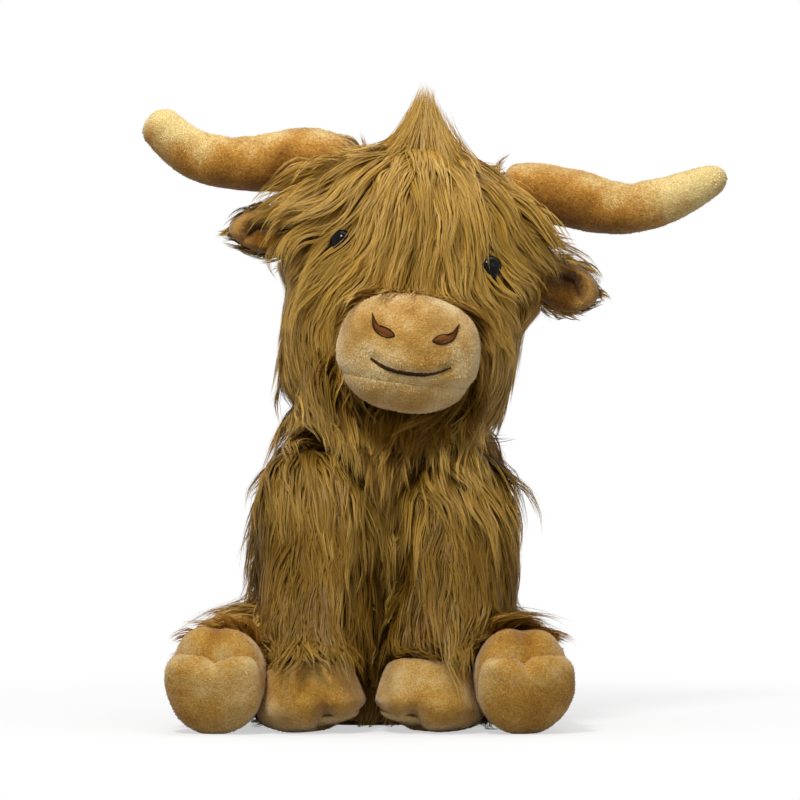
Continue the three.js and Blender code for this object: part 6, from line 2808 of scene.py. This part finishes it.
@dataclass
class Studio:
    """The pale floor, the soft light and the camera."""

    distance: float = 3.2
    elevation: float = 1.2
    look_at: tuple[float, float, float] = (15 * MM, -40 * MM, 164 * MM)
    field: float = 0.4
    sensor: float = 36.0
    reach: float = 6.0
    lamps_face: tuple[float, float, float] = (0.02, 0, 0.15)

    def build(self) -> None:
        """Set out the floor, the lamps, the world and the camera."""
        corners = np.array([(-1, -1, 0), (1, -1, 0), (1, 1, 0), (-1, 1, 0)]) * self.reach
        floor = mesh_object("studio_floor", corners, [(0, 1, 2, 3)])
        floor.data.materials.append(self.floor_finish())
        self.world()
        self.lamp("key", (-0.3, -0.8, 1.15), 0.26, 12.5)
        self.lamp("fill", (1.3, -1.2, 0.8), 1.0, 3.5)
        self.lamp("top", (0.1, 0.1, 1.2), 0.8, 6.0)
        camera = bpy.data.cameras.new("camera")
        camera.sensor_width = self.sensor
        camera.lens = self.sensor * self.distance / self.field
        camera.clip_start, camera.clip_end = 0.05, 30.0
        obj = bpy.data.objects.new("camera", camera)
        bpy.context.scene.collection.objects.link(obj)
        tilt = math.radians(self.elevation)
        back = Vector((0, -math.cos(tilt), math.sin(tilt)))
        obj.location = Vector(self.look_at) + back * self.distance
        obj.rotation_mode = "QUATERNION"
        obj.rotation_quaternion = (-back).to_track_quat("-Z", "Y")
        bpy.context.scene.camera = obj
        bpy.context.scene.view_settings.view_transform = "Standard"

    @staticmethod
    def plainly_seen(n: NodeTable) -> Socket:
        """1 where the camera, a gloss or a glass looks, and 0 for other light.

        Args:
            n: The material's nodes.

        Returns:
            The socket.
        """
        path = n.add("ShaderNodeLightPath")
        seen = n.math("MAXIMUM", path.outputs["Is Camera Ray"], path.outputs["Is Glossy Ray"])
        return n.math("MAXIMUM", seen, path.outputs["Is Transmission Ray"])

    def floor_finish(self) -> Material:
        """A pale floor that keeps the shadow and pales to white away from the cow.

        Returns:
            The material.
        """
        n = NodeTable("studio_floor")
        grain = n.noise(3.0, 2.0)
        colour = n.ramp(grain, (0.2, (0.86, 0.86, 0.86)), (0.8, (0.88, 0.88, 0.88)))
        seen = self.plainly_seen(n)
        colour = n.mix(seen, (0.38, 0.38, 0.38), colour)
        diffuse = n.add("ShaderNodeBsdfPrincipled", Base_Color=colour, Roughness=0.9)
        white = n.add("ShaderNodeEmission", Color=(1, 1, 1), Strength=1.0)
        away = n.add("ShaderNodeVectorMath", Vector=n.where)
        away.operation = "LENGTH"
        far = n.add("ShaderNodeMapRange", Value=away.outputs["Value"])
        for key, value in (("From Min", 0.1), ("From Max", 0.4), ("To Min", 0.55), ("To Max", 1.0)):
            far.inputs[key].default_value = value
        share = n.math("MULTIPLY", far.outputs["Result"], seen)
        mix = n.add("ShaderNodeMixShader", Fac=share)
        n.tree.links.new(diffuse.outputs[0], mix.inputs[1])
        n.tree.links.new(white.outputs[0], mix.inputs[2])
        return n.close(mix)

    def world(self) -> None:
        """A plain even light, white where the camera or a gloss sees it."""
        world = bpy.data.worlds.new("studio")
        bpy.context.scene.world = world
        world.use_nodes = True
        tree = world.node_tree
        tree.nodes.clear()
        out = tree.nodes.new("ShaderNodeOutputWorld")
        lights = []
        for strength in (0.24, 1.0):
            light = tree.nodes.new("ShaderNodeBackground")
            light.inputs["Color"].default_value = (1, 1, 1, 1)
            light.inputs["Strength"].default_value = strength
            lights.append(light)
        path = tree.nodes.new("ShaderNodeLightPath")
        seen: Socket = path.outputs["Is Camera Ray"]
        for ray in ("Is Glossy Ray", "Is Transmission Ray"):
            either = tree.nodes.new("ShaderNodeMath")
            either.operation = "MAXIMUM"
            tree.links.new(seen, either.inputs[0])
            tree.links.new(path.outputs[ray], either.inputs[1])
            seen = either.outputs[0]
        mix = tree.nodes.new("ShaderNodeMixShader")
        tree.links.new(seen, mix.inputs[0])
        tree.links.new(lights[0].outputs[0], mix.inputs[1])
        tree.links.new(lights[1].outputs[0], mix.inputs[2])
        tree.links.new(mix.outputs[0], out.inputs["Surface"])

    def lamp(self, name: str, place: tuple[float, float, float], size: float, power: float) -> None:
        """Hang one soft lamp that faces the cow.

        Args:
            name: The lamp's name.
            place: Where it hangs, in metres.
            size: Its side.
            power: Its watts.
        """
        data = bpy.data.lights.new(name, "AREA")
        data.size = size
        data.energy = power
        obj = bpy.data.objects.new(name, data)
        bpy.context.scene.collection.objects.link(obj)
        obj.location = place
        obj.rotation_mode = "QUATERNION"
        obj.rotation_quaternion = (Vector(self.lamps_face) - Vector(place)).to_track_quat("-Z", "Y")


def main() -> None:
    """Build the cow: first all skins, so that the pile lies over every neighbour, then the coats."""
    logging.basicConfig(level=logging.INFO, format="%(message)s")
    bpy.ops.object.select_all(action="DESELECT")
    shop = Workshop()
    torso = Torso(shop)
    head = Head(shop)
    furred: list[Torso | Head | FrontLeg | HindLeg | Ear | Tail] = [torso, head]
    torso.build()
    head.build()
    muzzle = Muzzle(shop, head)
    muzzle.build()
    Eyes(shop, head).build()
    Horn(shop, head, Side.LEFT, LEFT_HORN_LINE, LEFT_HORN_RADII).build()
    Horn(shop, head, Side.RIGHT, RIGHT_HORN_LINE, RIGHT_HORN_RADII).build()
    for side in Side:
        for part in (Ear(shop, head, side), FrontLeg(shop, side), HindLeg(shop, side)):
            part.build()
            furred.append(part)
    tail = Tail(shop)
    tail.build()
    furred.append(tail)
    muzzle.embroider()
    for part in furred:
        part.dress()
    for node in ("seat_panel", "seat_pellet_pouch", "body_neck_patch", "head_neck_patch"):
        cloth = frame["nodes"][node]
        cloth.data.materials.clear()
        cloth.data.materials.append(shop.cloth)
    Studio().build()


if __name__ == "__main__":
    main()
